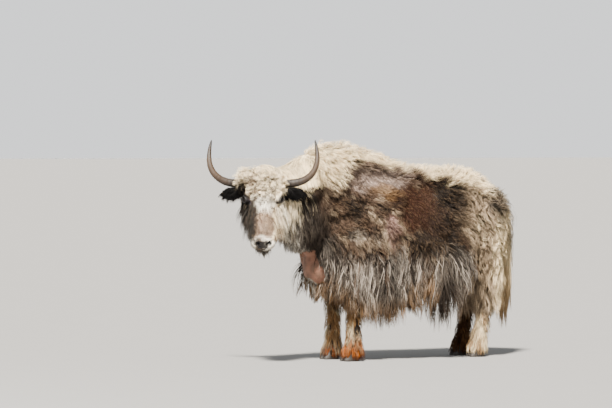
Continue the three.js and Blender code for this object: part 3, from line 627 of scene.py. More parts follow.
def ear_loft(side, inset):
    out, front, across, root = ear_frame(side)
    share = np.linspace(-0.12, 1, 30)
    width = profile([(0, 18), (0.25, 30), (0.6, 42), (0.85, 28), (1, 6)])(share)[:, 0]
    thick = 15 * (1 - 0.62 * np.clip(share, 0, 1))
    ones = np.ones((len(share), 1))
    centres = root + share[:, None] * EAR_LENGTH * out
    return loft("ear_flesh", from_yaw(egg_rings(
        centres, ones * across, ones * front, width - inset, thick, thick, 0, 32
    )))


def ear_cup(side):
    """The hollow of the ear, open to its front and running out of it at the tip."""
    out, front, across, root = ear_frame(side)
    return egg("ear_cup", root + 0.56 * EAR_LENGTH * out + 15 * front, (0.37 * EAR_LENGTH, 27, 15),
               np.stack([out, across, front]), from_yaw)


def eye_frame(side):
    """Where the eye looks, the line of its slit and the direction across the slit."""
    look = unit(np.array([-0.1, side * 0.68, 0.72]))
    slit = np.array([-0.8, side * -0.5, 0.3])
    slit = unit(slit - look * (slit @ look))
    return look, slit, np.cross(look, slit), np.array([-EYE_SHARE * HEAD_LENGTH, side * EYE_SIDE, EYE_UP])


def head_flesh(sizes):
    """Skull, ears, muzzle, lids and jaw in one, with the eyes' sockets, nostrils and ear cups cut out."""
    inset = sizes.coat_depth / MM
    parts = [head_loft(inset * 0.6), ear_loft(-1, 2), ear_loft(1, 2)]
    parts.append(egg("chin", (-0.93 * HEAD_LENGTH, 0, -64), (34, 42, 18)))
    parts.append(egg("upper_lip", (-0.955 * HEAD_LENGTH, 0, -14), (24, 52, 24)))
    parts.append(egg("nose_bone", (-0.66 * HEAD_LENGTH, 0, 26), (120, 40, 26)))
    parts.append(egg("poll", (-0.06 * HEAD_LENGTH, 0, 40), (52, 78, 44)))
    for side in (-1, 1):
        look, slit, across, centre = eye_frame(side)
        parts.append(egg("lids", centre - look * 2, (31, 25, 26.5), np.stack([slit, across, look])))
        parts.append(egg("brow", centre + np.array([14, side * -8, 22]), (44, 22, 17)))
        parts.append(egg("cheek_bone", centre + np.array([10, side * 2, -44]), (70, 17, 22)))
        parts.append(egg("nostril_rim", (-0.955 * HEAD_LENGTH, side * 37, 0), (24, 23, 23)))
        parts.append(egg("jaw", (-0.36 * HEAD_LENGTH, side * 62, -84), (92, 44, 62)))
        parts.append(egg("lip_side", (-0.9 * HEAD_LENGTH, side * 44, -26), (40, 24, 24)))
    head = joined("head_flesh", parts)
    apply_modifier(head, "REMESH", mode="VOXEL", voxel_size=sizes.head_voxel)
    apply_modifier(head, "SMOOTH", factor=0.6, iterations=7)
    for side in (-1, 1):
        look, slit, across, centre = eye_frame(side)
        cut(head, egg("lid_opening", centre + look * 17, (23, 12.5, 19), np.stack([slit, across, look])))
        cut(head, egg("socket", centre, (EYE_RADIUS + 0.6,) * 3))
        cut(head, ear_cup(side))
        nose = np.array([[0.80, side * -0.6, 0.0], [side * 0.55, 0.8, -0.25], [0.1, 0.1, 1.0]])
        nose = np.stack([unit(nose[0]), unit(nose[1]), unit(np.cross(nose[0], nose[1]))])
        cut(head, egg("nostril", (-NOSTRIL_PLACE, side * 33, 13), (24, 17, 10), nose))
        cut(head, egg("nostril_slit", (-0.935 * HEAD_LENGTH, side * 52, 14), (15, 10, 5), nose))
    apply_modifier(head, "REMESH", mode="VOXEL", voxel_size=sizes.head_voxel)
    apply_modifier(head, "SMOOTH", factor=0.5, iterations=2)
    sculpt_head(head)
    return head


def sculpt_head(head):
    """Moves the skin in and out for the mouth, the lid folds, the nose's creases and the hollows in front of
    the eyes.
    """
    points = (read_points(head) - STANCE) / MM
    share, side, up = to_head(points)
    normals = np.empty(len(points) * 3, np.float32)
    head.data.vertices.foreach_get("normal", normals)
    normals = normals.reshape(-1, 3)
    push = np.zeros(len(points))
    # the mouth: a line that dips at the front and turns down at its corners
    line = -40 + 9 * soft(np.abs(side), 30, 62) - 60 * np.clip(0.86 - share, 0, 1)
    mouth = soft(share, 0.76, 0.82)
    push -= 7.5 * mouth * np.exp(-(((up - line) / 3.2) ** 2))
    push += 2.2 * mouth * (np.exp(-(((up - line - 9) / 6) ** 2)) + np.exp(-(((up - line + 9) / 6) ** 2)))
    # the groove down the middle of the upper lip, and creases across the nose
    front = soft(share, 0.93, 0.97)
    push -= 2.5 * front * np.exp(-((side / 3.5) ** 2)) * soft(up, -44, -30) * (1 - soft(up, 0, 12))
    creases = soft(share, 0.80, 0.84) * (1 - soft(share, 0.93, 0.96)) * soft(up, 8, 22)
    push += 1.3 * creases * np.sin(share * HEAD_LENGTH * 2 * math.pi / 15 + side * side * 0.0009)
    # a hollow in front of each eye and below the cheek bone
    for s in (-1, 1):
        place = np.stack([share * HEAD_LENGTH, side, up], axis=1)
        push -= 5 * blob(place, (0.52 * HEAD_LENGTH, s * 96, 8), (58, 40, 40))
        look, slit, across, centre = eye_frame(s)
        local = np.stack([-share * HEAD_LENGTH, side, up], axis=1) - centre
        a, b, c = local @ slit, local @ across, local @ look
        near = (c > -6) & (np.abs(a) < 60) & (np.abs(b) < 50)
        ring = np.sqrt((a / 23) ** 2 + (b / 13.5) ** 2)
        push += near * 2.2 * np.exp(-(((ring - 1.16) / 0.2) ** 2))
        push -= near * 2.6 * np.exp(-(((ring - 1.75) / 0.25) ** 2))
    write_points(head, (points + normals * push[:, None]) * MM + STANCE)


def in_place(points):
    """Points that are in the body's own frame already."""
    return points


def body_flesh(sizes):
    """Torso, neck, tail and legs in one, with the shoulders, the hips and the brisket."""
    inset = sizes.coat_depth / MM
    parts = [torso_loft(inset * 1.6), neck_loft(inset * 1.6), tail_loft(inset)]
    for side in (-1, 1):
        parts.append(leg_loft(FORE_LEG, FORE_X, FORE_Y, side, inset))
        parts.append(leg_loft(HIND_LEG, HIND_X, HIND_Y, side, inset))
        parts.append(egg("shoulder", (-520, side * 128, 700), (150, 84, 230), None, in_place))
        parts.append(egg("hip", (455, side * 140, 880), (130, 76, 130), None, in_place))
    parts.append(egg("brisket", (-612, -6, 560), (84, 128, 118), None, in_place))
    body = joined("body_flesh", parts)
    apply_modifier(body, "REMESH", mode="VOXEL", voxel_size=sizes.body_voxel)
    apply_modifier(body, "SMOOTH", factor=0.6, iterations=4)
    return body


# Markings


def crest_z(x):
    """Height of the top of the neck and torso."""
    neck_top = np.interp(x, [-1100, -1022, -955, -835, -690], [1150, 1152, 1148, 1184, 1256])
    return np.where(x < -640, neck_top, torso_at(x)[:, 1])


def wool_edge(x):
    """How far the cream wool hangs down from the crest."""
    return np.interp(x, [-1000, -850, -700, -560, -504, -451, -281, 0, 160, 340, 455, 550, 640],
                     [130, 150, 206, 168, 112, 84, 66, 52, 62, 96, 128, 112, 70])


def side_mask(q, low, high):
    """1 on the flanks, 0 along the middle of the back and the belly."""
    return soft(np.abs(q[:, 1]), low, high)


# How much further back the patches of the right flank are than those of the left one
PATCH_SHIFT = 60.0
# Patches of the flanks: middle along X and Z, radii, colour, share
PATCHES = [
    (-310, 1100, 340, 96, "bloom", 1.0), (-250, 1010, 130, 56, "tan", 0.6), (-478, 905, 42, 84, "dark", 0.8),
    (-30, 902, 205, 196, "russet", 0.97), (182, 985, 146, 166, "dark", 0.97),
    (-262, 800, 62, 96, "sore", 0.8), (-490, 752, 80, 40, "white", 0.18), (-372, 742, 56, 40, "white", 0.12),
    # The dark band at (-60, 716) is painted shade under the overhang of the matted wool
    (-60, 716, 180, 52, "dark", 0.85), (-317, 615, 48, 48, "dark", 0.92), (112, 790, 140, 170, "dark", 0.55),
    (-200, 640, 70, 60, "white", 0.4),
]


def spots(q, size, seed, low, high):
    """Patches of noise of a size, 0 where it is under low and 1 where it is over high."""
    return soft(grain(q, size, seed), low, high)


def body_places(q):
    """Places on the body by name, with noise of three sizes and streaks along the lie of the flank's hair."""
    x, y, z = q.T
    rough, fine, tiny = grain(q, 60, 3) - 0.5, grain(q, 26, 4) - 0.5, grain(q, 11, 5) - 0.5
    along, over = 0.94 * x - 0.34 * z, 0.34 * x + 0.94 * z
    streak = grain(np.stack([along * 0.25, over, y], axis=1), 17, 28) - 0.5
    return SimpleNamespace(q=q, x=x, y=y, z=z, rough=rough, fine=fine, tiny=tiny, streak=streak)


def flank_marks(at, hue):
    """Upper flank mottled with dark and bleached wool, lower flank silver with white and dark locks."""
    dark = soft(at.rough + 0.6 * at.fine + 0.5 * at.streak, 0.02, 0.34)
    colour = mixed(hue.brown, hue.dark, 0.8 * dark)
    bleached = soft(0.5 * at.fine - at.rough + 0.7 * at.streak + 0.3 * at.tiny, 0.06, 0.36)
    colour = mixed(colour, hue.olive * 1.1 + hue.silver * 0.2, 0.8 * bleached)
    silver = mixed(hue.silver, hue.white, 0.5 * spots(at.q, 34, 8, 0.55, 0.85))
    silver = mixed(silver, hue.dark, 0.75 * spots(at.q, 30, 9, 0.56, 0.8))
    low = 1 - soft(at.z + 90 * at.rough + 0.1 * (at.x + 200), 560, 690)
    return mixed(colour, silver, low)


def front_marks(colour, at, hue):
    """Dark sides of the neck, a silver and white throat, and a tan brisket, dimmed in part as painted shade.
    """
    neck = 1 - soft(at.x + 0.35 * (at.z - 800) + 70 * at.rough, -690, -600)
    side = mixed(hue.dark * 1.5, hue.silver * 0.5, 0.6 * soft(at.fine, -0.1, 0.3))
    colour = mixed(colour, side, 0.92 * neck)
    slant = np.where(at.y > 0, 0.3, 0.5)
    front = 0.866 * at.x - slant * at.y - 56 * (1 - soft(at.z, 700, 840))
    throat = 1 - soft(front + 40 * at.rough + 20 * at.fine, -678, -622)
    colour = mixed(colour, mixed(hue.silver * 1.25, hue.white, 0.6 * soft(at.fine, 0.0, 0.3)), throat)
    chest = (1 - soft(at.x, -620, -540)) * (1 - soft(at.z + 40 * at.rough, 500, 600))
    # The brisket's tan and white are dimmed, partly painted shade under the throat's hair
    brisket = mixed(hue.tan * 0.7, hue.white * 0.34, spots(at.q, 30, 6, 0.45, 0.8))
    return mixed(colour, mixed(brisket, hue.brown, 0.6 * soft(at.fine, 0.0, 0.25)), 0.9 * chest)


def thigh_marks(colour, at, hue):
    """Olive wool with dark and pale curls, greyer further down."""
    wool = mixed(hue.olive * 1.45, hue.dark, 0.62 * soft(grain(at.q, 40, 12) + 0.3 * at.tiny, 0.52, 0.82))
    wool = mixed(wool, hue.cream * 0.8, 0.5 * spots(at.q, 30, 13, 0.56, 0.85) * soft(at.z, 520, 700))
    wool = mixed(wool, hue.silver, 0.35 * (1 - soft(at.z, 380, 600)))
    return mixed(colour, wool, soft(at.x + 0.15 * (at.z - 800) + 60 * at.rough, 200, 290))


def patch_marks(colour, at, hue):
    """Patches of the flanks (the dark band below the matted wool is painted shade), those of pale wool broken
    by streaks, and painted shade in the groin.
    """
    x = at.x - np.where(at.y > 0, PATCH_SHIFT, 0.0)
    flat = np.stack([x + 60 * at.rough + 26 * at.fine, at.z + 50 * at.fine + 40 * at.rough], axis=1)
    streaked = 0.5 + 0.5 * soft(at.fine + 0.8 * at.tiny + 1.2 * at.streak, -0.25, 0.2)
    for middle_x, middle_z, wide, high, name, share in PATCHES:
        spot = blob(flat, (middle_x, middle_z), (wide, high)) * soft(np.abs(at.y), 60, 130)
        broken = 1 if name in ("dark", "russet") else streaked
        colour = mixed(colour, getattr(hue, name), share * spot * broken)
    # Painted shade: the recess of the groin between the belly and the thighs is darkened
    groin_shade = blob(at.q, (215, 0, 500), (130, 240, 150))
    return mixed(colour, hue.dark * 1.3, 0.9 * groin_shade)


def wool_marks(colour, at, hue):
    """Cream wool of the hump, mane, back and rump, pale hair behind, and the dark root of the tail."""
    depth = crest_z(at.x) - at.z
    cream = soft(wool_edge(at.x) + 50 * at.rough + 34 * at.fine + 14 * at.tiny - depth, -10, 12)
    colour = mixed(colour, mixed(hue.cream, hue.tan * 1.3, 0.30 * spots(at.q, 48, 14, 0.5, 0.9)), cream)
    behind = at.x + 0.577 * np.abs(at.y) + 50 * at.fine
    rear = soft(behind, 566, 606) * (1 - soft(at.z, 860, 930)) * soft(at.z, 300, 400)
    colour = mixed(colour, mixed(hue.cream * 0.95, hue.tan, 0.3 * soft(at.fine, 0, 0.3)), 0.9 * rear)
    root = blob(np.stack([behind, at.z + 30 * at.rough], axis=1), (630, 950), (84, 124))
    return mixed(colour, mixed(hue.dark * 1.6, hue.silver, 0.8 * soft(at.fine, -0.2, 0.2)), 0.9 * root)


def fore_leg_marks(colour, at, hue):
    """Brown, tan and cream fore legs, dimmed higher up as painted shade under the fringe, with the left foot
    stained all over and the right one in places.
    """
    leg = mixed(hue.dark * 1.6, hue.tan * 1.5, 0.9 * soft(grain(at.q, 44, 15) + 0.2 * at.tiny, 0.34, 0.56))
    leg = mixed(leg, hue.cream * 0.7, 0.7 * spots(at.q, 34, 16, 0.48, 0.7))
    # Painted shade: the leg is dimmed above about 230 mm, where the fringe hangs round it
    leg = leg * (1 - 0.45 * soft(at.z + 40 * at.fine, 190, 270))[:, None]
    stain = mixed(hue.rust, hue.cream * 0.8, 0.10 * spots(at.q, 18, 20, 0.5, 0.85))
    stain = mixed(stain, hue.russet, 0.5 * spots(at.q, 14, 24, 0.5, 0.8))
    leg = mixed(leg, stain, (at.y < 0) * (1 - soft(at.z + 60 * at.fine, 122, 176)))
    touched = (at.y > 0) * 0.7 * (1 - soft(at.z, 80, 120)) * spots(at.q, 30, 17, 0.45, 0.65)
    fore = (1 - soft(at.x, -330, -300)) * (1 - soft(at.z + 60 * at.rough, 380, 500)) * (at.x > -600)
    return mixed(colour, mixed(leg, hue.rust * 0.8, touched), fore)


def hind_leg_marks(colour, at, hue):
    """Cream left shank, and a right one of brown and tan dimmed to dark brown, partly painted shade."""
    pale = mixed(hue.cream * 0.9, hue.tan * 1.5, 0.85 * spots(at.q, 26, 18, 0.3, 0.7))
    # The right shank's own colour is brown and tan; its dimming to dark brown is painted shade
    brown = mixed(hue.brown * (0.7, 0.45, 0.2), hue.tan, 0.5 * spots(at.q, 30, 19, 0.45, 0.8))
    hind = soft(at.x, 330, 370) * (1 - soft(at.z + 80 * at.rough, 230, 340)) * (at.x < 640)
    return mixed(colour, np.where((at.y < 0)[:, None], pale, brown), hind)


def tail_marks(colour, at, hue):
    """Cream tail with tan locks."""
    tail = soft(at.x, 648, 662) * (1 - soft(at.z, 880, 920))
    return mixed(colour, mixed(hue.cream, hue.tan, 0.6 * soft(at.rough, 0.05, 0.3)), tail)


def body_marks(q, hue):
    """Colour of the hair that grows at each place of the body."""
    at = body_places(q)
    colour = flank_marks(at, hue)
    regions = (front_marks, thigh_marks, patch_marks, wool_marks, fore_leg_marks, hind_leg_marks, tail_marks)
    for region in regions:
        colour = region(colour, at, hue)
    return colour


def face_places(q):
    """Places on the head by name, with noise of three sizes and a share and side whose borders are ragged."""
    share, side, up = to_head(q)
    rough, fine, tiny = grain(q, 34, 21) - 0.5, grain(q, 12, 22) - 0.5, grain(q, 6, 27) - 0.5
    return SimpleNamespace(
        share=share, side=side, up=up, rough=rough, fine=fine, tiny=tiny,
        ragged_share=share + 0.06 * (grain(q, 26, 25) - 0.5), ragged_side=side + 26 * rough + 10 * fine,
    )


def forehead_marks(at, hue):
    """White and cream, with brown flecks and a brown shade over the right eye."""
    share, side = at.ragged_share, at.ragged_side
    woolly = 0.75 * (1 - soft(share, 0.34, 0.48))
    colour = mixed(hue.white, hue.cream, np.maximum(woolly, 0.6 * soft(at.rough, 0.0, 0.3)))
    flecked = soft(share, 0.02, 0.12) * (1 - soft(share, 0.64, 0.76)) * (1 - soft(np.abs(side), 52, 92))
    flecks = soft(at.fine + 0.4 * at.rough + 0.5 * at.tiny, 0.12, 0.26)
    colour = mixed(colour, hue.brown * 0.7, 0.9 * flecked * flecks)
    over = soft(side, 26, 52) * soft(share, 0.12, 0.22) * (1 - soft(share, 0.42, 0.5))
    return mixed(colour, hue.brown * 1.9, 0.85 * over * soft(at.rough + at.fine, -0.3, 0.15))


def cheek_marks(colour, at, hue):
    """Left cheek cream with tan, bridge tan and brown, right cheek smoke grey from the eye to the lip."""
    share, side, fine, tiny = at.ragged_share, at.ragged_side, at.fine, at.tiny
    cheek = soft(-side, 46, 70) * soft(share, 0.42, 0.58)
    tanned = mixed(hue.cream, hue.tan * 0.9, soft(at.rough + fine + 1.4 * (share - 0.6), -0.1, 0.3))
    colour = mixed(colour, tanned, 0.85 * cheek)
    bridge = soft(share, 0.52, 0.64) * (1 - soft(share, 0.88, 0.93)) * (1 - soft(np.abs(side), 56, 74))
    colour = mixed(colour, mixed(hue.muzzle, hue.brown, 0.6 * soft(fine + tiny, 0.0, 0.3)), 0.92 * bridge)
    edge = side + 14 * fine + 10 * tiny - 40 * (share - 0.7)
    smoke = soft(edge, 16, 54) * soft(share + 0.0042 * np.clip(side - 56, 0, 60), 0.42, 0.52)
    smoke = smoke * (1 - 0.75 * soft(share, 0.92, 0.98))
    colour = mixed(colour, RUSTY_EDGE, 0.5 * bridge * soft(edge, -14, 18) * soft(fine + tiny, -0.2, 0.3))
    grey = mixed(hue.smoke, hue.muzzle * 0.5, 0.35 * soft(fine + tiny, 0.0, 0.35))
    colour = mixed(colour, grey, 0.97 * smoke)
    temple = soft(side, 84, 100) * soft(share, 0.12, 0.2) * (1 - soft(share, 0.5, 0.6))
    colour = mixed(colour, hue.dark * 0.8, temple)
    return mixed(colour, hue.silver, 0.5 * soft(-at.up, 60, 100) * soft(share, 0.3, 0.5) * (1 - 0.8 * smoke))


def muzzle_marks(colour, at, hue):
    """Grey-white round the nose and on the chin, and black between the nostrils; also where that black is."""
    share, side, up, fine = at.share, at.side, at.up, at.fine
    nose = soft(share + 0.03 * at.rough, 0.895, 0.93)
    pale = mixed(hue.silver * 0.9, hue.white, soft(-side + 40 * fine, -6, 16))
    pale = mixed(pale, hue.muzzle * 0.8, 0.5 * soft(fine + at.tiny, 0.05, 0.3))
    colour = mixed(colour, pale, nose * (1 - 0.8 * soft(side, 34, 52)))
    chin = soft(share, 0.86, 0.9) * (1 - soft(up, -52, -42))
    colour = mixed(colour, mixed(hue.silver * 0.8, hue.tan * 0.8, 0.5 * soft(fine, 0, 0.3)), 0.8 * chin)
    reach = np.abs(side + 10 * fine)
    plate = soft(share + 0.0008 * reach, 0.954, 0.966) * (1 - soft(reach, 24, 36)) * soft(up, -20, -10)
    return mixed(colour, hue.black * 1.8, 0.95 * plate), plate


def face_marks(q, hue):
    """Colour of the face, and how bare and wet its skin is."""
    at = face_places(q)
    share, side, up = at.share, at.side, at.up
    colour, plate = muzzle_marks(cheek_marks(forehead_marks(at, hue), at, hue), at, hue)
    bare, wet = 0.9 * plate, plate
    for s in (-1, 1):
        place = np.stack([share * HEAD_LENGTH, side, up], axis=1)
        nostril = blob(place, (NOSTRIL_PLACE, s * 35, 12), (27, 23, 14))
        colour = mixed(colour, hue.black, nostril)
        ring, front = eye_ring(share, side, up, s)
        look, slit, across, centre = eye_frame(s)
        offset = np.stack([-share * HEAD_LENGTH, side, up], axis=1) - centre
        rim = (front > -10) * (1 - soft(ring, 1.45, 1.95))
        colour = mixed(colour, LID_BLACK, 0.98 * rim)
        corner = (front > -10) * blob(offset, slit * 30 + across * 3, (24, 17, 30))
        colour = mixed(colour, CORNER_GREY, 0.9 * corner * (1 - rim))
        bare = np.maximum.reduce([bare, nostril, rim, 0.8 * corner])
        wet = np.maximum.reduce([wet, 0.6 * nostril, 0.4 * rim])
    lips = soft(share, 0.82, 0.88) * np.exp(-(((up + 40) / 5.0) ** 2))
    return mixed(colour, hue.black * 1.5, 0.8 * lips), np.maximum(bare, 0.7 * lips), wet


def eye_ring(share, side, up, s):
    """Distance from an eye's slit in half slits, and how far in front of the eye's middle a place is."""
    look, slit, across, centre = eye_frame(s)
    local = np.stack([-share * HEAD_LENGTH, side, up], axis=-1) - centre
    return np.sqrt(((local @ slit) / 23) ** 2 + ((local @ across) / 13.5) ** 2), local @ look


def head_share(q):
    """1 on the head, 0 on the neck."""
    share, side, up = to_head(q)
    reach = np.sqrt(side**2 + (up + 40) ** 2)
    return soft(share, -0.03, 0.05) * (1 - soft(reach, 205, 240)) * (share < 1.2)


def ear_share(q):
    """1 on an ear."""
    level = (q - POLL) @ YAW_TURN
    most = np.zeros(len(q))
    for side in (-1, 1):
        out, front, across, root = ear_frame(side)
        local = level - root
        along, deep, wide = local @ out, local @ front, local @ across
        thick, broad = 1 - soft(np.abs(deep), 26, 34), 1 - soft(np.abs(wide), 46, 56)
        most = np.maximum(most, soft(along, 6, 20) * thick * broad)
    return most


# Corners of the rubbed patch, clockwise: across the front of the left side, and up, from its middle
BARE_MIDDLE, BARE_CORNERS = (-575.0, 560.0), [(-176, 66), (28, 112), (104, -70), (44, -96), (-128, -24)]


def patch_place(q):
    """Places across and up from the middle of the rubbed patch."""
    return 0.866 * q[:, 0] - 0.5 * q[:, 1] - BARE_MIDDLE[0], q[:, 2] - BARE_MIDDLE[1]


def bare_patch(q):
    """1 on the patch of the brisket where the hair has rubbed off: a ragged triangle."""
    across, up = patch_place(q)
    inside = np.full(len(q), 1e3)
    for (a, c), (b, d) in zip(BARE_CORNERS, BARE_CORNERS[1:] + BARE_CORNERS[:1]):
        far = ((across - a) * (d - c) - (up - c) * (b - a)) / math.hypot(b - a, d - c)
        inside = np.minimum(inside, far)
    ragged = inside + 24 * (grain(q, 34, 31) - 0.5) + 12 * (grain(q, 11, 33) - 0.5)
    return soft(ragged, -3, 4) * (1 - soft(q[:, 1], 150, 190)) * (q[:, 0] < -430)


def marks(q, hairy=False):
    """Colour, bareness and wetness of the skin, or of the hair on it, for places in millimetres."""
    hue = colours()
    colour = body_marks(q, hue)
    patch = bare_patch(q)
    if not hairy:
        colour = mixed(colour, mixed(hue.pink, hue.brown, 0.6 * spots(q, 30, 32, 0.35, 0.85)), patch)
    face, bare, wet = face_marks(q, hue)
    on_head = head_share(q)
    colour = mixed(colour, face, on_head)
    ears = ear_share(q)
    colour = mixed(colour, hue.black * 1.4, ears)
    return colour, np.maximum(patch, bare * on_head * (1 - ears)), wet * on_head


# The coat


@functools.lru_cache(maxsize=1)
def hide():
    """The skin's triangles for growing hair on: corners, normals, areas and a tree for near points."""
    skin = bpy.data.objects["skin"]
    skin.data.calc_loop_triangles()
    triangles = np.empty(len(skin.data.loop_triangles) * 3, np.int32)
    skin.data.loop_triangles.foreach_get("vertices", triangles)
    triangles = triangles.reshape(-1, 3)
    points = (read_points(skin) - STANCE) / MM
    a, b, c = points[triangles[:, 0]], points[triangles[:, 1]], points[triangles[:, 2]]
    normals = np.cross(b - a, c - a)
    areas = np.linalg.norm(normals, axis=1) / 2
    corner_normals = np.empty(len(points) * 3, np.float32)
    skin.data.vertices.foreach_get("normal", corner_normals)
    corner_normals = corner_normals.reshape(-1, 3)
    smooth = unit(corner_normals[triangles].mean(axis=1))
    tree = BVHTree.FromPolygons(points.tolist(), triangles.tolist(), all_triangles=True)
    return {"a": a, "b": b, "c": c, "normals": smooth, "areas": areas, "tree": tree}


def nearest(points):
    """The nearest place of the skin, its outward direction and the height over it."""
    skin = hide()
    find, normals = skin["tree"].find_nearest, skin["normals"]
    found = [find(point) for point in points.tolist()]
    at = np.array([hit[0] for hit in found])
    out = normals[np.array([hit[2] for hit in found])]
    gap = np.einsum("ij,ij->i", points - at, out)
    far = np.linalg.norm(points - at, axis=1)
    return at, out, np.where(gap < 0, gap, far)


def scatter(density, count, draw):
    """Roots and their outward directions, spread by a density over the skin."""
    skin = hide()
    middle = (skin["a"] + skin["b"] + skin["c"]) / 3
    weight = skin["areas"] * np.clip(density(middle), 0, None)
    steps = (np.arange(count) + draw.random(count)) / count
    chosen = np.clip(np.searchsorted(np.cumsum(weight) / weight.sum(), steps), 0, len(weight) - 1)
    u, v = draw.random((2, count))
    over = u + v > 1
    u, v = np.where(over, 1 - u, u), np.where(over, 1 - v, v)
    a, b, c = skin["a"][chosen], skin["b"][chosen], skin["c"][chosen]
    return a + (b - a) * u[:, None] + (c - a) * v[:, None], skin["normals"][chosen]


def hem_z(x, y):
    """Lowest tips of the belly fringe, and of the throat's in front of the fore legs."""
    back = x - 0.577 * (np.clip(y, -230, 230) + 230)
    belly = np.interp(back,
                      [-620, -450, -400, -320, -250, -160, -75, -20, 36, 52, 75, 104, 160, 194, 230, 320],
                      [330, 200, 160, 145, 185, 250, 320, 385, 395, 320, 205, 140, 140, 200, 245, 245])
    throat = np.interp(x, [-1050, -900, -835, -788, -738, -682, -653, -632],
                       [860, 740, 680, 630, 535, 440, 350, 250])
    return np.where(x < -600, np.maximum(throat, belly), belly)


def tip_floor(q, draw):
    """Lowest level for the tips of hanging hair: hem, edge of the mane, and clear of the bare patch."""
    x, y, z = q.T
    floor = np.where(x < 320, hem_z(x, y), 150 + 90 * draw.random(len(q))) + 60 * draw.random(len(q)) ** 2
    floor = np.where(is_leg(q), 14 * draw.random(len(q)), floor)
    floor = np.where(on_tail(q), 100 + 90 * draw.random(len(q)) ** 2, floor)
    crest = crest_z(x)
    in_mane = (crest - z < wool_edge(x) + 10) & (x < -560)
    floor = np.where(in_mane, crest - wool_edge(x) - 46 * draw.random(len(q)), floor)
    across, up = patch_place(q)
    edge = np.interp(across, [-176, 28, 104], [66, 112, -70])
    above = (across > -230) & (across < 108) & (up > edge - 12) & (y < 230) & (x < -430)
    rim = BARE_MIDDLE[1] + edge - 12 + 30 * draw.random(len(q))
    return np.where(above, np.maximum(floor, rim), floor)


def gather(paths, guides, amount, rise):
    """Draws strands towards the path of the nearest guide, more so to their tips."""
    tree = KDTree(len(guides))
    for i, guide in enumerate(guides):
        tree.insert(paths[guide, 1], i)
    tree.balance()
    own = np.array([tree.find(point)[1] for point in paths[:, 1].tolist()])
    leader = paths[np.asarray(guides)[own]]
    t = np.linspace(0, 1, paths.shape[1])[None, :, None]
    share = np.asarray(amount)[:, None, None] * t**rise
    return paths * (1 - share) + leader * share, own


DOWN = np.array([0.0, 0.0, -1.0])


def grow(roots, normals, style, points):
    """Paths of strands from roots: along the lie of the coat, falling, and kept above the skin."""
    count = len(roots)
    paths = np.empty((count, points, 3))
    outs = np.empty((count, points, 3))
    lie = unit(style["lie"] - normals * np.einsum("ij,ij->i", style["lie"], normals)[:, None] * 0.9)
    lift = style["lift"][:, None]
    heading = unit(lie * (1 - lift) + normals * lift)
    place = roots - normals * 3
    paths[:, 0], outs[:, 0] = place, normals
    step = (style["length"] / (points - 1))[:, None]
    out = normals
    for i in range(1, points):
        t = i / (points - 1)
        heading = unit(heading + style["fall"][:, None] * DOWN * (0.35 + t))
        place = place + heading * step
        at, out, gap = nearest(place)
        want = style["height"] * min(1.0, 1.9 * t) * (1 - 0.35 * t)
        push = np.clip(want - gap, 0, 60)
        sunk = style["cling"] * np.clip(gap - want, 0, None)
        place = place + out * (push - sunk)[:, None]
        inward = np.clip(np.einsum("ij,ij->i", heading, out), None, 0) * (gap < want + 6)
        heading = unit(heading - out * inward[:, None])
        paths[:, i], outs[:, i] = place, out
    return paths, outs


def curl(paths, outs, style, own, draw):
    """Waves and curls, alike within a lock."""
    count, points = paths.shape[:2]
    t = np.linspace(0, 1, points)[None, :]
    along = unit(np.gradient(paths, axis=1))
    across = unit(np.cross(along, outs))
    locks = own.max() + 1
    phase = (draw.random(locks) * 2 * math.pi)[own] + draw.normal(0, 0.5, count)
    turns = style["turns"] * (0.8 + 0.4 * draw.random(locks)[own])
    angle = phase[:, None] + turns[:, None] * 2 * math.pi * t
    size = style["curl"][:, None] * np.minimum(1, t * 2.2)
    aside, away = size * np.sin(angle), 0.6 * size * (np.cos(angle) + 0.5)
    return paths + (across * aside[..., None] + outs * away[..., None])


WIDTH_ALONG = np.array([0.8, 1.0, 0.96, 0.8, 0.5])


def strand_piece(name, paths, outs, widths, tints, corners):
    """Joins strands as thin, three-sided, tapered solids, with their colours and their bake map."""
    count, points = paths.shape[:2]
    along = unit(np.gradient(paths, axis=1))
    across = unit(np.cross(along, outs))
    over = unit(np.cross(across, along))
    over *= np.sign(np.einsum("ijk,ijk->ij", over, outs) + 1e-9)[..., None]
    rows = points - 1
    shape = np.interp(np.linspace(0, 0.86, rows), np.linspace(0, 0.86, len(WIDTH_ALONG)), WIDTH_ALONG)
    half = (widths[:, None] * shape[None, :] / 2)[..., None]
    ring = np.stack([
        paths[:, :rows] - across[:, :rows] * half,
        paths[:, :rows] + across[:, :rows] * half,
        paths[:, :rows] + over[:, :rows] * half * 0.5,
    ], axis=2)
    block = rows * 3 + 1
    mesh_points = np.concatenate([ring.reshape(count, rows * 3, 3), paths[:, -1:]], axis=1)
    faces = [(0, 1, 2)]
    quads = []
    for r in range(rows - 1):
        for k in range(3):
            low, ahead = r * 3 + k, r * 3 + (k + 1) % 3
            quads.append((low, low + 3, ahead + 3, ahead))
    for k in range(3):
        faces.append(((rows - 1) * 3 + k, block - 1, (rows - 1) * 3 + (k + 1) % 3))
    base = (np.arange(count) * block)[:, None, None]
    triangles = (np.array(faces)[None] + base).reshape(-1, 3)
    walls = (np.array(quads)[None] + base).reshape(-1, 4)
    place = np.clip(mesh_points.reshape(-1, 3) * MM + STANCE, LOW_LIMIT, HIGH_LIMIT)
    piece = mesh_piece(name, place, [triangles, walls])
    flip_if_inside_out(piece, mesh_points)
    rows_of = np.concatenate([np.repeat(np.arange(rows), 3), [rows]])
    set_attribute(piece, "coat_colour", tints[:, rows_of].reshape(-1, 3))
    u = np.concatenate([np.tile([0.0, 1.0, 0.5], rows), [0.5]]) - 0.5
    v = rows_of / rows - 0.5
    places = corners[:, None] + np.stack([u, v], axis=1)[None] * PATCH_SIZE
    add_map(piece, "OFBake", places.reshape(-1, 2))
    across_lines = np.arange(count)[:, None] * STREAK_STEP + u[None] + 0.5
    lines = np.stack([across_lines, np.tile(v + 0.5, (count, 1))], axis=2)
    add_map(piece, "strand", lines.reshape(-1, 2))
    return piece


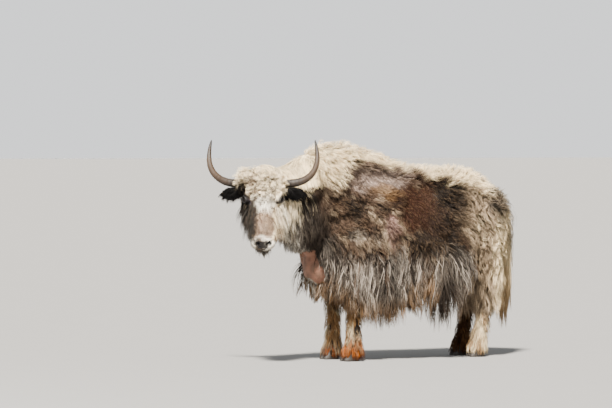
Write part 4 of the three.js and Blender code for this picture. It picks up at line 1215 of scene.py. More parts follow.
def flip_if_inside_out(piece, mesh_points):
    """Turns the faces round if the first ones look along their strands instead of back."""
    first = mesh_points[:, :3]
    middle = first.mean(axis=1)
    face = np.cross(first[:, 1] - first[:, 0], first[:, 2] - first[:, 0])
    away = mesh_points[:, 3:6].mean(axis=1) - middle
    if np.einsum("ij,ij->i", face, away).mean() > 0:
        piece.data.flip_normals()


def add_map(piece, name, places):
    """A UV map from one place for each point."""
    layer = piece.data.uv_layers.new(name=name)
    loops = np.empty(len(piece.data.loops), np.int32)
    piece.data.loops.foreach_get("vertex_index", loops)
    layer.uv.foreach_set("vector", np.asarray(places, np.float32)[loops].ravel())


def unwrapped(q):
    """Places on an unwrap of the skin's own shape, in millimetres: rolled out round each part's axis."""
    x, y, z = q.T
    level = np.interp(x, [-1000, -700, -300, 600], [1000, 860, 800, 860])
    u, v = np.arctan2(z - level, y) * 220, x.copy()
    legs = z < 500
    leg = (x > 0) * 2 + (y > 0)
    leg_x = np.where(x > 0, HIND_X + 40, FORE_X)
    leg_y = np.where(y > 0, 1, -1) * np.where(x > 0, HIND_Y, FORE_Y)
    u = np.where(legs, 900 + leg * 330 + np.arctan2(y - leg_y, x - leg_x) * 48, u)
    v = np.where(legs, z, v)
    share, side, up = to_head(q)
    head = head_share(q) > 0.5
    u = np.where(head, np.arctan2(side, up + 30) * 100, u)
    v = np.where(head, -1200 - share * HEAD_LENGTH, v)
    tail = (x > 645) & (z < 960)
    u = np.where(tail, 1500 + np.arctan2(y, x - 680) * 40, u)
    v = np.where(tail, z, v)
    return np.stack([u, v], axis=1)


def bake_corners(roots):
    """The middle of each tuft's patch on the bake map."""
    flat = unwrapped(roots)
    low, high = flat.min(axis=0), flat.max(axis=0)
    return 0.01 + 0.98 * (flat - low) / np.maximum(high - low, 1)


LOW_LIMIT = np.array(CAD_BOX[0]) - COAT_MARGIN
HIGH_LIMIT = np.array(CAD_BOX[1]) + COAT_MARGIN
LOW_LIMIT[2] = GROUND_GAP


def blank_style(q):
    """The lie of short hair on the body: backwards and down."""
    count = len(q)
    ones = np.ones(count)
    return {
        "lie": np.tile(np.array([0.5, 0.0, -0.86]), (count, 1)), "length": ones * 40, "lift": ones * 0.3,
        "height": ones * 10, "fall": ones * 0.1, "curl": ones * 2, "turns": ones * 0.8, "width": ones * 6,
        "clump": ones * 0.6, "cling": ones * 0.15, "swirl": ones * 0.25,
    }


def set_where(style, mask, **values):
    """Blends new values into a style where a mask is high."""
    for name, value in values.items():
        value = np.asarray(value, float)
        share = mask[:, None] if name == "lie" else mask
        style[name] = style[name] * (1 - share) + value * share


def coat_style(q, draw):
    """Length, lie, lift and shape of the hair at each root."""
    style = blank_style(q)
    for region in (flank_style, belly_style, wool_style, chest_style, thigh_style, shank_style, tail_style):
        region(style, q, draw)
    set_where(style, bare_patch(q), length=16, height=2, lift=0.2, width=1.6, curl=0.5, fall=0.25, cling=0.3)
    head_style(style, q, draw)
    return style


def flank_style(style, q, draw):
    """Matted wool in clumps, half shed, worn short in the middle and below the hump."""
    flat = q[:, [0, 2]]
    matted = soft(grain(q, 64, 41) + 0.6 * grain(q, 26, 42), 0.55, 1.1)
    set_where(style, np.ones(len(q)), length=26 + 44 * matted, height=4 + 26 * matted,
              lift=0.22 + 0.3 * matted, curl=3 + 5 * matted, turns=1.0, clump=0.55, width=3.5, fall=0.10,
              swirl=0.95, lie=(0.75, 0, -0.62))
    worn = np.maximum(blob(flat, (-20, 902), (165, 165)), 0.7 * blob(flat, (-300, 1090), (330, 74)))
    set_where(style, worn * side_mask(q, 60, 120), length=24, height=4, lift=0.16, curl=2.0, swirl=0.4)


def belly_style(style, q, draw):
    """Long hanging locks of the lower flank and the belly, with a tuft before the thigh."""
    x, y, z = q.T
    low = 1 - soft(z + 50 * (grain(q, 64, 41) - 0.5), 620, 760)
    hang = np.clip(z - hem_z(x, y) - 70 * draw.random(len(q)) ** 2, 60, 440)
    length = np.minimum(hang, 190 + 250 * (1 - soft(z, 480, 700))) * (0.86 + 0.34 * grain(q, 26, 42))
    tuft = blob(q[:, [0, 2]], (128, 560), (92, 170))
    length = length * (1 - tuft) + np.clip(z - 150 - 60 * draw.random(len(q)), 60, 540) * tuft
    set_where(style, low * (1 - soft(x, 330, 400)), length=length, height=14 + 28 * draw.random(len(q)),
              lift=0.34, curl=11.0, turns=1.4, fall=0.46, clump=0.84, width=3.5, cling=0.0, swirl=0.95,
              lie=(0.15, 0, -1))


def cream_wool(q):
    """1 on the cream wool of the crest, the hump, the back and the rump."""
    return soft(20 - wool_depth(q), -20, 10)


def wool_style(style, q, draw):
    """Thick wool of the hump and the back, and the long mane."""
    x = q[:, 0]
    cream = cream_wool(q)
    hump = soft(x, -800, -640) * (1 - soft(x, -330, -180))
    set_where(style, cream, length=84, height=38, lift=0.6, curl=6.0, turns=1.3, clump=0.62, width=3.4,
              fall=0.05, swirl=0.7, lie=(0.9, 0, -0.3))
    set_where(style, cream * hump, length=112, height=42, lift=0.62, curl=7.0, fall=0.16, swirl=0.45)
    set_where(style, 1 - soft(x, -760, -620), length=180, height=22, lift=0.36, fall=0.6, curl=5.0, turns=1.5,
              clump=0.7, width=3.3, cling=0.0, swirl=0.3, lie=(0.35, 0, -0.9))


def chest_style(style, q, draw):
    """Hanging hair of the throat and the brisket."""
    chest = (1 - soft(q[:, 0], -640, -560)) * (1 - soft(q[:, 2], 640, 800))
    set_where(style, chest, length=210, height=22, fall=0.8, lift=0.35, curl=7.0, turns=1.2, cling=0.0)


def thigh_style(style, q, draw):
    """Curly wool of the thighs, long further down."""
    x, y, z = q.T
    thigh = soft(x, 240, 330) * (1 - cream_wool(q))
    set_where(style, thigh, length=56 + 50 * grain(q, 26, 42), height=16 + 18 * grain(q, 64, 41), lift=0.42,
              curl=9.0, turns=1.25, clump=0.8, fall=0.25, width=3.9, cling=0.1, swirl=0.7,
              lie=(0.35, 0, -0.9))
    set_where(style, thigh * soft(x, 290, 340) * (1 - soft(z, 460, 720)), length=190, height=22, fall=0.6,
              cling=0.0, swirl=0.35, turns=1.4)


def shank_style(style, q, draw):
    """Legs below the knee and hock, with long hair over the hooves."""
    z = q[:, 2]
    set_where(style, 1 - soft(z, 300, 430), length=76, height=14, lift=0.32, fall=0.4, curl=4.0, turns=1.1,
              clump=0.72, width=3.6, cling=0.0, swirl=0.3, lie=(0.1, 0, -1))
    set_where(style, 1 - soft(z, 100, 170), length=118, height=20, lift=0.45, width=3.8, fall=0.4)


def tail_style(style, q, draw):
    """Long locks of the tail, down to near the ground."""
    tail = soft(q[:, 0], 640, 662) * (1 - soft(q[:, 2], 930, 960))
    reach = np.clip(q[:, 2] - 100 - 60 * draw.random(len(q)), 60, 470)
    set_where(style, tail, length=reach, height=4 + 20 * draw.random(len(q)), lift=0.2, fall=0.9, curl=6.0,
              turns=2.4, clump=0.78, width=4.6, cling=0.0, swirl=0.2, lie=(0.1, 0, -1))


def head_style(style, q, draw):
    """Hair of the head: curls on the forehead, long on the jaw, short on the bridge and the muzzle."""
    share, side, up = to_head(q)
    on = head_share(q)
    nosewards = -HEAD_TURN[:, 0]
    swirl = unit(draw.normal(0, 1, (len(q), 3)) + nosewards * 0.6)
    set_where(style, on, length=22, height=4, lift=0.2, fall=0.25, curl=1.5, turns=0.6, clump=0.5, width=2.5,
              cling=0.25, swirl=0.25, lie=nosewards)
    crown = crown_mask(q)
    set_where(style, crown, length=50, height=13, lift=0.55, fall=0.1, curl=7.0, turns=1.05, clump=0.86,
              width=2.5, cling=0.0, swirl=0.0, lie=swirl)
    temple = crown * soft(side, 44, 84) * (1 - soft(share, 0.16, 0.26))
    set_where(style, temple, length=86, height=34, lift=0.7, lie=unit(swirl + 1.5 * HEAD_TURN[:, 1]))
    # The cheeks and the jaw: hair that stands out beside the face and hangs
    jowl = soft(np.abs(side), 56, 80) * soft(share, 0.30, 0.42) * (1 - soft(share, 0.80, 0.88))
    jowl = jowl * (1 - soft(up, 10, 40)) * on
    left = side < 0
    set_where(style, jowl, length=np.where(left, 150, 120), height=np.where(left, 36, 28), lift=0.55,
              fall=0.6, curl=3.0, turns=1.0, clump=0.62, width=3.4, cling=0.0, lie=nosewards)
    cheek = soft(-up, 30, 80) * (1 - soft(share, 0.7, 0.86)) * on
    set_where(style, cheek, length=90 + 60 * (1 - share), height=10, lift=0.3, fall=0.7, curl=3.0, width=3.8,
              cling=0.0)
    nose = soft(share, 0.78, 0.88) * on * (1 - jowl)
    set_where(style, nose, length=10, height=2.0, lift=0.16, width=1.9, curl=0.4, fall=0.1, clump=0.3,
              cling=0.3)
    beard = soft(share, 0.84, 0.9) * soft(-up, 50, 62) * on
    set_where(style, beard, length=60 * draw.random(len(q)), height=5, lift=0.4, fall=0.9, curl=2.0,
              width=2.6, clump=0.7, cling=0.0)
    for s in (-1, 1):
        ring, front = eye_ring(share, side, up, s)
        near = (front > -14) * (1 - soft(ring, 2.1, 3.4))
        set_where(style, near, length=15, height=2.5, lift=0.2, width=2.0, curl=0.6, clump=0.3, fall=0.1)
    outwards = np.where((side > 0)[:, None], YAW_TURN[:, 1], -YAW_TURN[:, 1]) + DOWN * 0.4
    set_where(style, ear_share(q), length=36, height=5, lift=0.35, fall=0.4, curl=2.5, width=2.8, clump=0.5,
              cling=0.0, swirl=0.1, lie=unit(outwards))


def clear_hooves(paths):
    """Pushes the long hair of the feet out over the hooves."""
    for x0, y0 in ((FORE_X, FORE_Y), (HIND_X, HIND_Y)):
        for side in (-1, 1):
            offset = paths[..., :2] - np.array([x0 - 14, side * y0])
            reach = np.sqrt((offset[..., 0] / 60) ** 2 + (offset[..., 1] / 52) ** 2)
            low = (1 - soft(paths[..., 2], 50, 105)) * (reach < 1.5)
            wider = 1 + (np.clip(1 / np.maximum(reach, 0.4), 1, 2.5) - 1) * low
            paths[..., :2] += offset * (wider - 1)[..., None]
    return paths


def tint_strands(roots, paths, own, groups, style, draw):
    """Colours along each strand: painted shade that darkens it towards the root and lightens the tip, its own
    tone, and the pale or tan tips of long hair.
    """
    count, points = paths.shape[:2]
    hue = colours()
    x, y, z = roots.T
    head = head_share(roots)
    short = (head * (style["length"] < 70))[:, None]
    colour = marks(roots * (1 - short) + paths[:, points // 2] * short, hairy=True)[0]
    strand_draw = draw.random(count)
    lock_draw = 0.4 * draw.random(own.max() + 1)[own] + 0.6 * draw.random(groups.max() + 1)[groups]
    lock_draw = np.argsort(np.argsort(lock_draw)) / count
    tone = (0.66 + 0.64 * lock_draw) * (0.84 + 0.32 * strand_draw)
    tone = np.where(head > 0.5, 1 + 0.5 * (tone - 1), tone) + 0.14 * soft(colour.mean(axis=1), 0.3, 0.6)
    t = np.linspace(0, 1, points)[None, :]
    # Painted shade between the strands: each strand is darker at its root and lighter at its tip
    tints = colour[:, None] * (tone[:, None] * (0.45 + 0.65 * t))[..., None]
    tints = tint_long_hair(tints, roots, paths, style["length"], strand_draw, lock_draw, hue)
    tips = paths[..., 2]
    tail = on_tail(roots) | ((x > 560) & (z < 600))
    low_tail = tail[:, None] * (1 - soft(tips, 260, 520)) * (lock_draw > 0.25)[:, None]
    tints = mixed(tints, hue.tan, 0.85 * low_tail)
    wool = ((z > 640) & (x > -640) & (x < 640) & (style["length"] < 120))[:, None] * (1 - head)[:, None]
    bleached = (strand_draw > 0.66)[:, None] * soft(t, 0.3, 1.0) * wool
    return mixed(tints, BLEACHED_TIP, 0.42 * bleached)


def tint_long_hair(tints, roots, paths, length, strand_draw, lock_draw, hue):
    """Turns the lower flank's long hair silver, white or dark below the matted wool, tan at its tips, and
    darker with painted shade where it hangs into the groin.
    """
    x, y, z = roots.T
    tips = paths[..., 2]
    low = ((z < 780) & (x < 330) & (x > -740)) * (1 - soft(head_share(roots), 0.2, 0.6))
    is_long = (low * np.clip((length - 90) / 60, 0, 1))[:, None]
    shades = np.array([
        hue.silver, hue.silver * 0.5, hue.silver * 3.2, hue.dark * 1.5, hue.silver * 1.7, hue.brown,
    ])
    pick = (0.86 * lock_draw + 0.14 * strand_draw) * 0.999
    shade = shades[np.searchsorted(SHADE_SHARES, pick)] * (0.7 + 0.6 * strand_draw)[:, None]
    ragged = 120 * (lock_draw - 0.5) + 170 * (grain(roots, 120, 61) - 0.5)
    below = 1 - soft(tips + ragged[:, None], 570, 720)
    tints = mixed(tints, shade[:, None], 0.9 * is_long * below)
    over_hem = tips - hem_z(x, y)[:, None] + 90 * (lock_draw[:, None] - 0.5)
    tan = hue.tan * ((0.45 + 1.1 * strand_draw) * (0.5 + 0.5 * soft(x, -560, -440)))[:, None]
    tanned = (1 - soft(over_hem, 20, 200)) * is_long * (0.6 + 0.4 * strand_draw)[:, None]
    tints = mixed(tints, tan[:, None], 0.9 * tanned)
    # Painted shade: long hair darkens where it hangs into the groin
    groin_shade = blob(paths[..., [0, 2]].reshape(-1, 2), (135, 320), (110, 210)).reshape(tips.shape)
    return mixed(tints, hue.dark * (1 + 2.5 * lock_draw[:, None, None]), 0.95 * is_long * groin_shade)


def coat_piece(name, density, triangles, points, seed, lock=7, big=6):
    """One piece of the coat: roots by a density, strands grown, drawn into locks, curled and joined."""
    draw = np.random.default_rng(seed)
    share = bpy.context.scene.yak_sizes.fullness * 1.0
    count = int(triangles * share / ((points - 2) * 6 + 4))
    roots, normals = scatter(density, count, draw)
    style = coat_style(roots, draw)
    length = style["length"] * (0.72 + 0.5 * draw.random(count))
    room = np.where(style["fall"] > 0.3, roots[:, 2] - tip_floor(roots, draw), 1e4)
    fitted = np.clip(length, 14, np.maximum(room * 1.08, 14))
    style["length"] = np.where(head_share(roots) > 0.5, length, fitted)
    swirled = style["lie"] + drift(roots, 90, 51) * style["swirl"][:, None]
    style["lie"] = unit(swirled + draw.normal(0, 0.13, (count, 3)))
    style["lift"] = np.clip(style["lift"] * (0.6 + 0.8 * draw.random(count)), 0.02, 0.95)
    paths, outs = grow(roots, normals, style, points)
    guides = draw.permutation(count)[: max(2, count // lock)]
    heads = guides[: max(2, len(guides) // big)]
    drawn, groups = gather(paths, heads, style["clump"] * 0.55, 1.3)
    paths[guides] = drawn[guides]
    paths, own = gather(paths, guides, style["clump"], 0.9)
    paths = clear_hooves(curl(paths, outs, style, own, draw))
    tints = tint_strands(roots, paths, own, groups, style, draw)
    widths = style["width"] * (0.7 + 0.6 * draw.random(count))
    piece = strand_piece(name, paths, outs, widths, tints, bake_corners(roots))
    shader, colour, rough = coat_finish(name)
    shader.finish(piece, Base_Color=colour, Roughness=rough)
    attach(piece, "root")
    return piece


def body_only(q):
    """1 on the body, 0 on the head, and almost 0 on the rubbed patch."""
    return (1 - soft(head_share(q), 0.3, 0.6)) * (1 - 0.94 * soft(bare_patch(q), 0.3, 0.7))


def on_tail(q):
    return (q[:, 0] > TAIL_FRONT) & (q[:, 2] < TAIL_TOP) & (np.abs(q[:, 1]) < 60)


def is_leg(q):
    return (q[:, 2] < LEG_TOP) & ((q[:, 0] > HIND_LEG_FRONT) | (q[:, 0] < FORE_LEG_BACK))


def is_thigh(q):
    return (q[:, 0] > THIGH_FRONT) & ~on_tail(q) & ~is_leg(q)


def wool_depth(q):
    """How far a place lies below the edge of the cream wool."""
    return crest_z(q[:, 0]) - q[:, 2] - wool_edge(q[:, 0])


def mane_density(q):
    return body_only(q) * ((q[:, 0] < MANE_BACK) & (wool_depth(q) < WOOL_BELOW))


def back_density(q):
    return body_only(q) * ((q[:, 0] >= MANE_BACK) & (wool_depth(q) < WOOL_BELOW) & ~on_tail(q))


def flank_density(side):
    """Density of one flank: -1 for the left, 1 for the right. The next one takes the same."""

    def density(q):
        clear = (wool_depth(q) >= COAT_ABOVE) & (q[:, 1] * side >= 0) & ~is_thigh(q)
        return body_only(q) * (clear & (q[:, 2] > 700) & (q[:, 0] > -660))

    return density


def skirt_density(side):
    def density(q):
        near = (q[:, 2] <= 740) & (q[:, 1] * side >= 0) & (q[:, 0] > -600) & ~is_thigh(q) & ~is_leg(q)
        return body_only(q) * near * (0.25 + 0.75 * soft(np.abs(q[:, 1]), 60, 160))

    return density


def chest_density(q):
    near = (q[:, 0] <= -580) & (wool_depth(q) >= COAT_ABOVE) & (q[:, 2] > 300)
    near &= (q[:, 0] < -650) | (q[:, 2] < 720)
    return body_only(q) * near


def thigh_density(q):
    outer = 0.3 + 0.7 * soft(np.abs(q[:, 1]), 20, 60)
    return body_only(q) * (is_thigh(q) & (wool_depth(q) >= COAT_ABOVE)) * outer


def leg_density(q):
    return body_only(q) * is_leg(q) * (q[:, 2] > HOOF_HEIGHT + 2) * (1 + 2 * (1 - soft(q[:, 2], 100, 180)))


def tail_density(q):
    return on_tail(q) * 1.0


def crown_mask(q):
    """1 where the forehead's curls grow: down to the brows, and lower between them."""
    share, side, up = to_head(q)
    low = 0.42 - 0.14 * soft(np.abs(side), 34, 84)
    mask = head_share(q) * (1 - ear_share(q)) * (1 - soft(share, low - 0.05, low + 0.04)) * soft(up, -50, -10)
    for s in (-1, 1):
        ring, front = eye_ring(share, side, up, s)
        mask *= np.where(front > -16, soft(ring, 1.9, 3.0), 1)
    return mask


def face_density(q):
    share, side, up = to_head(q)
    bare = marks(q)[1]
    rest = 1 - crown_mask(q)
    small = 1 + 1.6 * soft(share, 0.7, 0.85) - 0.6 * soft(-up, 30, 70)
    return np.maximum(head_share(q) * rest * small * (1 - soft(bare, 0.25, 0.6)), 1.2 * ear_share(q))


# Operators


class YAK_OT_skin(bpy.types.Operator):
    """One skin from the nose to the tail, with the face's features, in place of the nodes of flesh"""

    bl_idname = "yak.skin"
    bl_label = "Skin"

    def execute(self, context):
        sizes = context.scene.yak_sizes
        head, body = head_flesh(sizes), body_flesh(sizes)
        apply_modifier(body, "BOOLEAN", operation="UNION", solver="MANIFOLD", object=head)
        bpy.data.objects.remove(head)
        skin = body
        skin.name = "skin"
        for polygon in skin.data.polygons:
            polygon.use_smooth = True
        colour, bare, wet = marks((read_points(skin) - STANCE) / MM)
        set_attribute(skin, "marking", colour)
        set_attribute(skin, "bare", bare)
        set_attribute(skin, "wet", wet)
        shader = Shader("skin")
        hair = shader.noise(shader.place((1, 1, 0.3)), 190.0, 4.0, 0.65)
        pores = shader.noise(shader.place(), 420.0, 2.0)
        folds = shader.noise(shader.place((1, 1, 2.2)), 38.0, 4.0)
        bald, damp = shader.attribute("bare", 2), shader.attribute("wet", 2)
        matted = shader.noise(shader.place((1, 1, 0.6)), 46.0, 4.0, 0.6)
        tone = (0.20 + hair * 0.75 + matted * 0.75) * (1 - bald) + (0.72 + folds * 0.36 + pores * 0.2) * bald
        height = (hair + matted * 1.6) * (1 - bald) + (pores * 0.25 + folds * 0.9) * bald
        shader.skin.inputs["Specular IOR Level"].default_value = 0.2
        shader.skin.inputs["Subsurface Weight"].default_value = 0.0
        shader.finish(
            skin,
            Base_Color=shader.tint(shader.attribute("marking"), tone),
            Roughness=0.82 - damp * 0.5 - bald * 0.12,
            Normal=shader.bump(height, 0.7, 0.006),
        )
        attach(skin, "root")
        flesh = ["head", "neck", "torso", "tail", "ear_left", "ear_right"]
        flesh += [f"{end}_leg_{side}" for end in ("fore", "hind") for side in ("left", "right")]
        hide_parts(*flesh)
        return {"FINISHED"}


class YAK_OT_eyes(bpy.types.Operator):
    """Both eyes: a ball with a domed cornea, a brown iris and a pupil that lies level"""

    bl_idname = "yak.eyes"
    bl_label = "Eyes"

    def execute(self, context):
        for name, side in (("left", -1), ("right", 1)):
            look, slit, across, centre = eye_frame(side)
            deselect()
            bpy.ops.mesh.primitive_uv_sphere_add(segments=48, ring_count=32, radius=1)
            ball = bpy.context.active_object
            ball.name = f"eyeball_{name}"
            unit_points = read_points(ball)
            facing = np.clip(unit_points[:, 2], -1, 1)
            radius = EYE_RADIUS - 0.6 + 1.6 * soft(facing, 0.82, 0.97)
            basis = np.stack([slit, across, look])
            write_points(ball, from_head((unit_points * radius[:, None]) @ basis + centre) * MM + STANCE)
            activate(ball)
            bpy.ops.object.shade_smooth()
            set_attribute(ball, "gaze", unit_points)
            gaze = Shader(f"eye_{name}")
            a = gaze.node("ShaderNodeSeparateXYZ", {}, gaze.attribute("gaze", 1))
            b = Wire(gaze, a.socket.node.outputs[1])
            far = (a * a + b * b) ** 0.5
            pupil = ((a / 0.40) ** 2 + (b / 0.21) ** 2) ** 0.5
            ring = gaze.node("ShaderNodeValToRGB", {"stops": [
                (0.0, (0.004, 0.0024, 0.0014)), (0.52, (0.010, 0.005, 0.003)),
                (0.66, (0.002, 0.0014, 0.0012)), (0.74, (0.007, 0.006, 0.0055)), (1.0, (0.03, 0.024, 0.02)),
            ]}, far)
            inside = gaze.node("ShaderNodeMath", {"operation": "LESS_THAN"}, pupil, 1.0)
            gaze.skin.inputs["Coat Roughness"].default_value = 0.03
            gaze.skin.inputs["Specular IOR Level"].default_value = 0.1
            iris = gaze.blend(inside, ring, (0.002, 0.002, 0.002))
            gaze.finish(ball, Base_Color=iris, Roughness=0.16, Coat_Weight=0.16)
            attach(ball, "root")
            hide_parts(f"eye_{name}")
        return {"FINISHED"}


class YAK_OT_horns(bpy.types.Operator):
    """Both horns, with growth rings towards the root"""

    bl_idname = "yak.horns"
    bl_label = "Horns"

    def execute(self, context):
        spine = profile([(i / (len(HORN) - 1), *point) for i, point in enumerate(HORN)])
        for name, side in (("left", -1), ("right", 1)):
            share = np.linspace(0, 1, 150)
            out, forward, up, radius = spine(share).T
            ridge = np.sin(share * 95 + 2.2 * np.sin(share * 31)) * 0.55 * (1 - soft(share, 0.25, 0.6))
            radius = np.maximum(radius, 2.6) + ridge
            radius[-4:] *= [0.92, 0.8, 0.6, 0.3]
            centres = np.stack([-forward, side * out, up], axis=1)
            along = unit(np.gradient(centres, axis=0))
            across = unit(np.cross(along, [1, 0, 0]))
            rings = egg_rings(centres, across, unit(np.cross(across, along)), radius, radius, radius, 0, 40)
            horn = loft(f"horn_piece_{name}", from_yaw(rings))
            set_attribute(horn, "length_share", np.concatenate([np.repeat(share, 40), [0, 1]]))
            shader = Shader(f"horn_{name}")
            far = shader.attribute("length_share", 2)
            grain_lines = shader.noise(shader.place((1, 1, 0.2)), 90.0, 4.0)
            cloud = shader.noise(shader.place(), 22.0, 3.0)
            ramp = shader.node("ShaderNodeValToRGB", {"stops": [
                (0.0, (0.006, 0.0040, 0.0026)), (0.2, (0.017, 0.0100, 0.0056)),
                (0.45, tuple(context.scene.yak_colours.horn)), (0.72, (0.040, 0.024, 0.013)),
                (0.9, (0.014, 0.009, 0.0055)), (1.0, (0.006, 0.004, 0.003)),
            ]}, far + (cloud - 0.5) * 0.22)
            shader.finish(
                horn, Base_Color=shader.tint(ramp, 0.5 + grain_lines * 0.9),
                Roughness=0.46 + grain_lines * 0.3, Normal=shader.bump(grain_lines + cloud * 0.6, 0.6, 0.002),
            )
            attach(horn, "root")
            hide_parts(f"horn_{name}")
        return {"FINISHED"}


class YAK_OT_hooves(bpy.types.Operator):
    """Eight claws, two to a foot, with a coronet, a wall and a flat sole"""

    bl_idname = "yak.hooves"
    bl_label = "Hooves"

    def execute(self, context):
        feet = [("fore", "left", FORE_X, FORE_Y, -1), ("fore", "right", FORE_X, FORE_Y, 1),
                ("hind", "left", HIND_X, HIND_Y, -1), ("hind", "right", HIND_X, HIND_Y, 1)]
        wall = profile([(0, -20, 51, 21.5), (5, -20, 52, 22), (14, -18, 51, 22), (44, -8, 41, 20),
                        (60, -2, 35, 18.6), (HOOF_HEIGHT, 0, 31, 16)])
        for end, name, x0, y0, side in feet:
            for which, outer in (("outer", 1), ("inner", -1)):
                z = np.concatenate([[0.0, 1.2], np.linspace(4, HOOF_HEIGHT, 34)])
                dx, half_length, half_width = wall(z).T
                half_length[0] -= 1.5
                half_width[0] -= 1.5
                ripple = 0.35 * np.sin(z * 0.9)
                centres = np.stack([x0 + dx, z * 0 + side * y0 + outer * side * 23, z], axis=1)
                ones = np.ones((len(z), 1))
                rings = egg_rings(centres, ones * [0, 1, 0], ones * [1, 0, 0], half_width + ripple,
                                  half_length + ripple, half_length + ripple, 0.22, 40)
                claw = loft(f"claw_{end}_{name}_{which}", rings)
                shader = Shader("hoof")
                rows = shader.noise(shader.place((1, 1, 5)), 60.0, 3.0)
                dust = shader.noise(shader.place(), 45.0, 4.0)
                clean = shader.tint(tuple(context.scene.yak_colours.hoof), 0.5 + rows)
                shader.finish(
                    claw, Base_Color=shader.blend(dust * 0.5, clean, (0.05, 0.038, 0.027)),
                    Roughness=0.45 + rows * 0.35, Normal=shader.bump(rows, 0.4, 0.002),
                )
                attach(claw, "root")
                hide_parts(f"{end}_hoof_{name}_{which}")
        return {"FINISHED"}


class YAK_OT_wool(bpy.types.Operator):
    """Cream wool of the mane, the hump, the back and the rump"""

    bl_idname = "yak.wool"
    bl_label = "Mane and back wool"

    def execute(self, context):
        coat_piece("coat_mane", mane_density, triangles=175000, points=6, seed=211, lock=9)
        coat_piece("coat_back", back_density, triangles=95000, points=5, seed=223)
        return {"FINISHED"}


class YAK_OT_flanks(bpy.types.Operator):
    """Matted wool of both flanks"""

    bl_idname = "yak.flanks"
    bl_label = "Flanks"

    def execute(self, context):
        coat_piece("coat_flank_left", flank_density(-1), triangles=180000, points=4, seed=227, lock=6)
        coat_piece("coat_flank_right", flank_density(1), triangles=110000, points=4, seed=229, lock=6)
        return {"FINISHED"}


class YAK_OT_fringe(bpy.types.Operator):
    """Long locks of the lower flanks, the belly, the throat and the brisket"""

    bl_idname = "yak.fringe"
    bl_label = "Fringe"

    def execute(self, context):
        coat_piece("coat_skirt_left", skirt_density(-1), triangles=190000, points=7, seed=233)
        coat_piece("coat_skirt_right", skirt_density(1), triangles=120000, points=7, seed=239)
        coat_piece("coat_chest", chest_density, triangles=110000, points=6, seed=241)
        return {"FINISHED"}


class YAK_OT_limbs(bpy.types.Operator):
    """Hair of the thighs, the legs and the tail"""

    bl_idname = "yak.limbs"
    bl_label = "Thighs, legs and tail"

    def execute(self, context):
        coat_piece("coat_thighs", thigh_density, triangles=150000, points=6, seed=251)
        coat_piece("coat_legs", leg_density, triangles=85000, points=4, seed=257)
        coat_piece("coat_tail", tail_density, triangles=40000, points=8, seed=263)
        return {"FINISHED"}


class YAK_OT_head_hair(bpy.types.Operator):
    """Curls of the forehead, and the hair of the face, the jaw and the ears"""

    bl_idname = "yak.head_hair"
    bl_label = "Head hair"

    def execute(self, context):
        coat_piece("coat_crown", crown_mask, triangles=130000, points=7, seed=269, lock=10, big=4)
        coat_piece("coat_face", face_density, triangles=115000, points=4, seed=271)
        return {"FINISHED"}


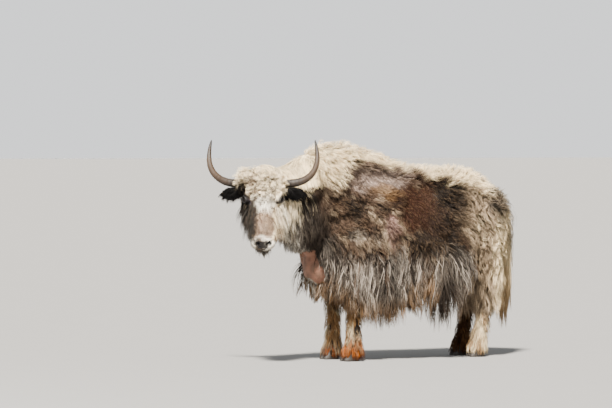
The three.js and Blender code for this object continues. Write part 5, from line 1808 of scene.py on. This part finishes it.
class YAK_OT_stage(bpy.types.Operator):
    """A plain pale floor, soft lights and the camera"""

    bl_idname = "yak.stage"
    bl_label = "Stage"

    def execute(self, context):
        deselect()
        bpy.ops.mesh.primitive_plane_add(size=600, location=(0, 0, 0))
        floor = bpy.context.active_object
        floor.name = "floor"
        shader = Shader("floor")
        speck = shader.noise(shader.place(), 3.0, 2.0)
        shader.finish(floor, Base_Color=shader.tint((0.26, 0.257, 0.252), 0.97 + speck * 0.05), Roughness=0.9)
        world = bpy.data.worlds.new("studio")
        context.scene.world = world
        world.use_nodes = True
        sky, back = world.node_tree.nodes, world.node_tree.nodes["Background"]
        where, split = sky.new("ShaderNodeTexCoord"), sky.new("ShaderNodeSeparateXYZ")
        fade = sky.new("ShaderNodeMapRange")
        for i, value in enumerate((0.10, 0.32, 1.30, 0.50)):
            fade.inputs[i + 1].default_value = value
        for start, end in ((where.outputs["Generated"], split.inputs[0]), (split.outputs[2], fade.inputs[0]),
                           (fade.outputs[0], back.inputs[1])):
            world.node_tree.links.new(start, end)
        back.inputs[0].default_value = (0.97, 0.985, 1.0, 1)
        self.sun(context)
        self.light("fill", (-6.0, -3.0, 2.2), 3.2, 160, (0.95, 0.97, 1.0))
        self.camera(context)
        return {"FINISHED"}

    def sun(self, context):
        """A broad soft key from above, in front and to the left of the camera."""
        data = bpy.data.lights.new("key", "SUN")
        data.energy, data.angle, data.color = 18.0, math.radians(7), (1.0, 0.94, 0.85)
        lamp = bpy.data.objects.new("key", data)
        lamp.rotation_euler = Vector((0.42, 0.50, -0.86)).to_track_quat("-Z", "Y").to_euler()
        context.scene.collection.objects.link(lamp)

    def light(self, name, place, size, power, colour):
        """A soft lamp that looks at the animal's middle."""
        data = bpy.data.lights.new(name, "AREA")
        data.shape, data.size, data.energy, data.color = "DISK", size, power, colour
        lamp = bpy.data.objects.new(name, data)
        lamp.location = place
        lamp.rotation_euler = (Vector((0, 0, 0.75)) - Vector(place)).to_track_quat("-Z", "Y").to_euler()
        bpy.context.scene.collection.objects.link(lamp)

    def camera(self, context):
        """The photo's view of the animal."""
        right = Vector((math.cos(VIEW_TURN), math.sin(VIEW_TURN), 0))
        back = Vector((math.sin(VIEW_TURN), -math.cos(VIEW_TURN), 0))
        data = bpy.data.cameras.new("camera")
        data.sensor_width = SENSOR_WIDTH
        data.lens = VIEW_DISTANCE / (PIXEL * PHOTO_WIDTH) * SENSOR_WIDTH
        camera = bpy.data.objects.new("camera", data)
        middle = Vector(STANCE) + right * (PHOTO_WIDTH / 2 - STANCE_COLUMN) * PIXEL
        camera.location = middle + back * VIEW_DISTANCE + Vector((0, 0, VIEW_HEIGHT))
        aim = middle + Vector((0, 0, AIM_HEIGHT))
        camera.rotation_euler = (aim - camera.location).to_track_quat("-Z", "Y").to_euler()
        bpy.context.scene.collection.objects.link(camera)
        context.scene.camera = camera


class YAK_PT_panel(bpy.types.Panel):
    """Lists the pieces of the yak"""

    bl_idname = "YAK_PT_panel"
    bl_label = "Yak"
    bl_space_type = "VIEW_3D"
    bl_region_type = "UI"
    bl_category = "Yak"

    def draw(self, context):
        for group in (context.scene.yak_sizes, context.scene.yak_colours):
            for name in type(group).__annotations__:
                self.layout.prop(group, name)
        for step in STEPS:
            self.layout.operator(step.bl_idname)


STEPS = (YAK_OT_skin, YAK_OT_eyes, YAK_OT_horns, YAK_OT_hooves, YAK_OT_wool, YAK_OT_flanks, YAK_OT_fringe,
         YAK_OT_limbs, YAK_OT_head_hair, YAK_OT_stage)
CLASSES = (YakColours, YakSizes, *STEPS, YAK_PT_panel)


def register():
    for made in CLASSES:
        bpy.utils.register_class(made)
    bpy.types.Scene.yak_colours = bpy.props.PointerProperty(type=YakColours)
    bpy.types.Scene.yak_sizes = bpy.props.PointerProperty(type=YakSizes)


def unregister():
    del bpy.types.Scene.yak_sizes
    del bpy.types.Scene.yak_colours
    for made in reversed(CLASSES):
        bpy.utils.unregister_class(made)


def main():
    """Runs every step in turn."""
    register()
    for step in STEPS:
        group, name = step.bl_idname.split(".")
        getattr(getattr(bpy.ops, group), name)()


if __name__ == "__main__":
    main()
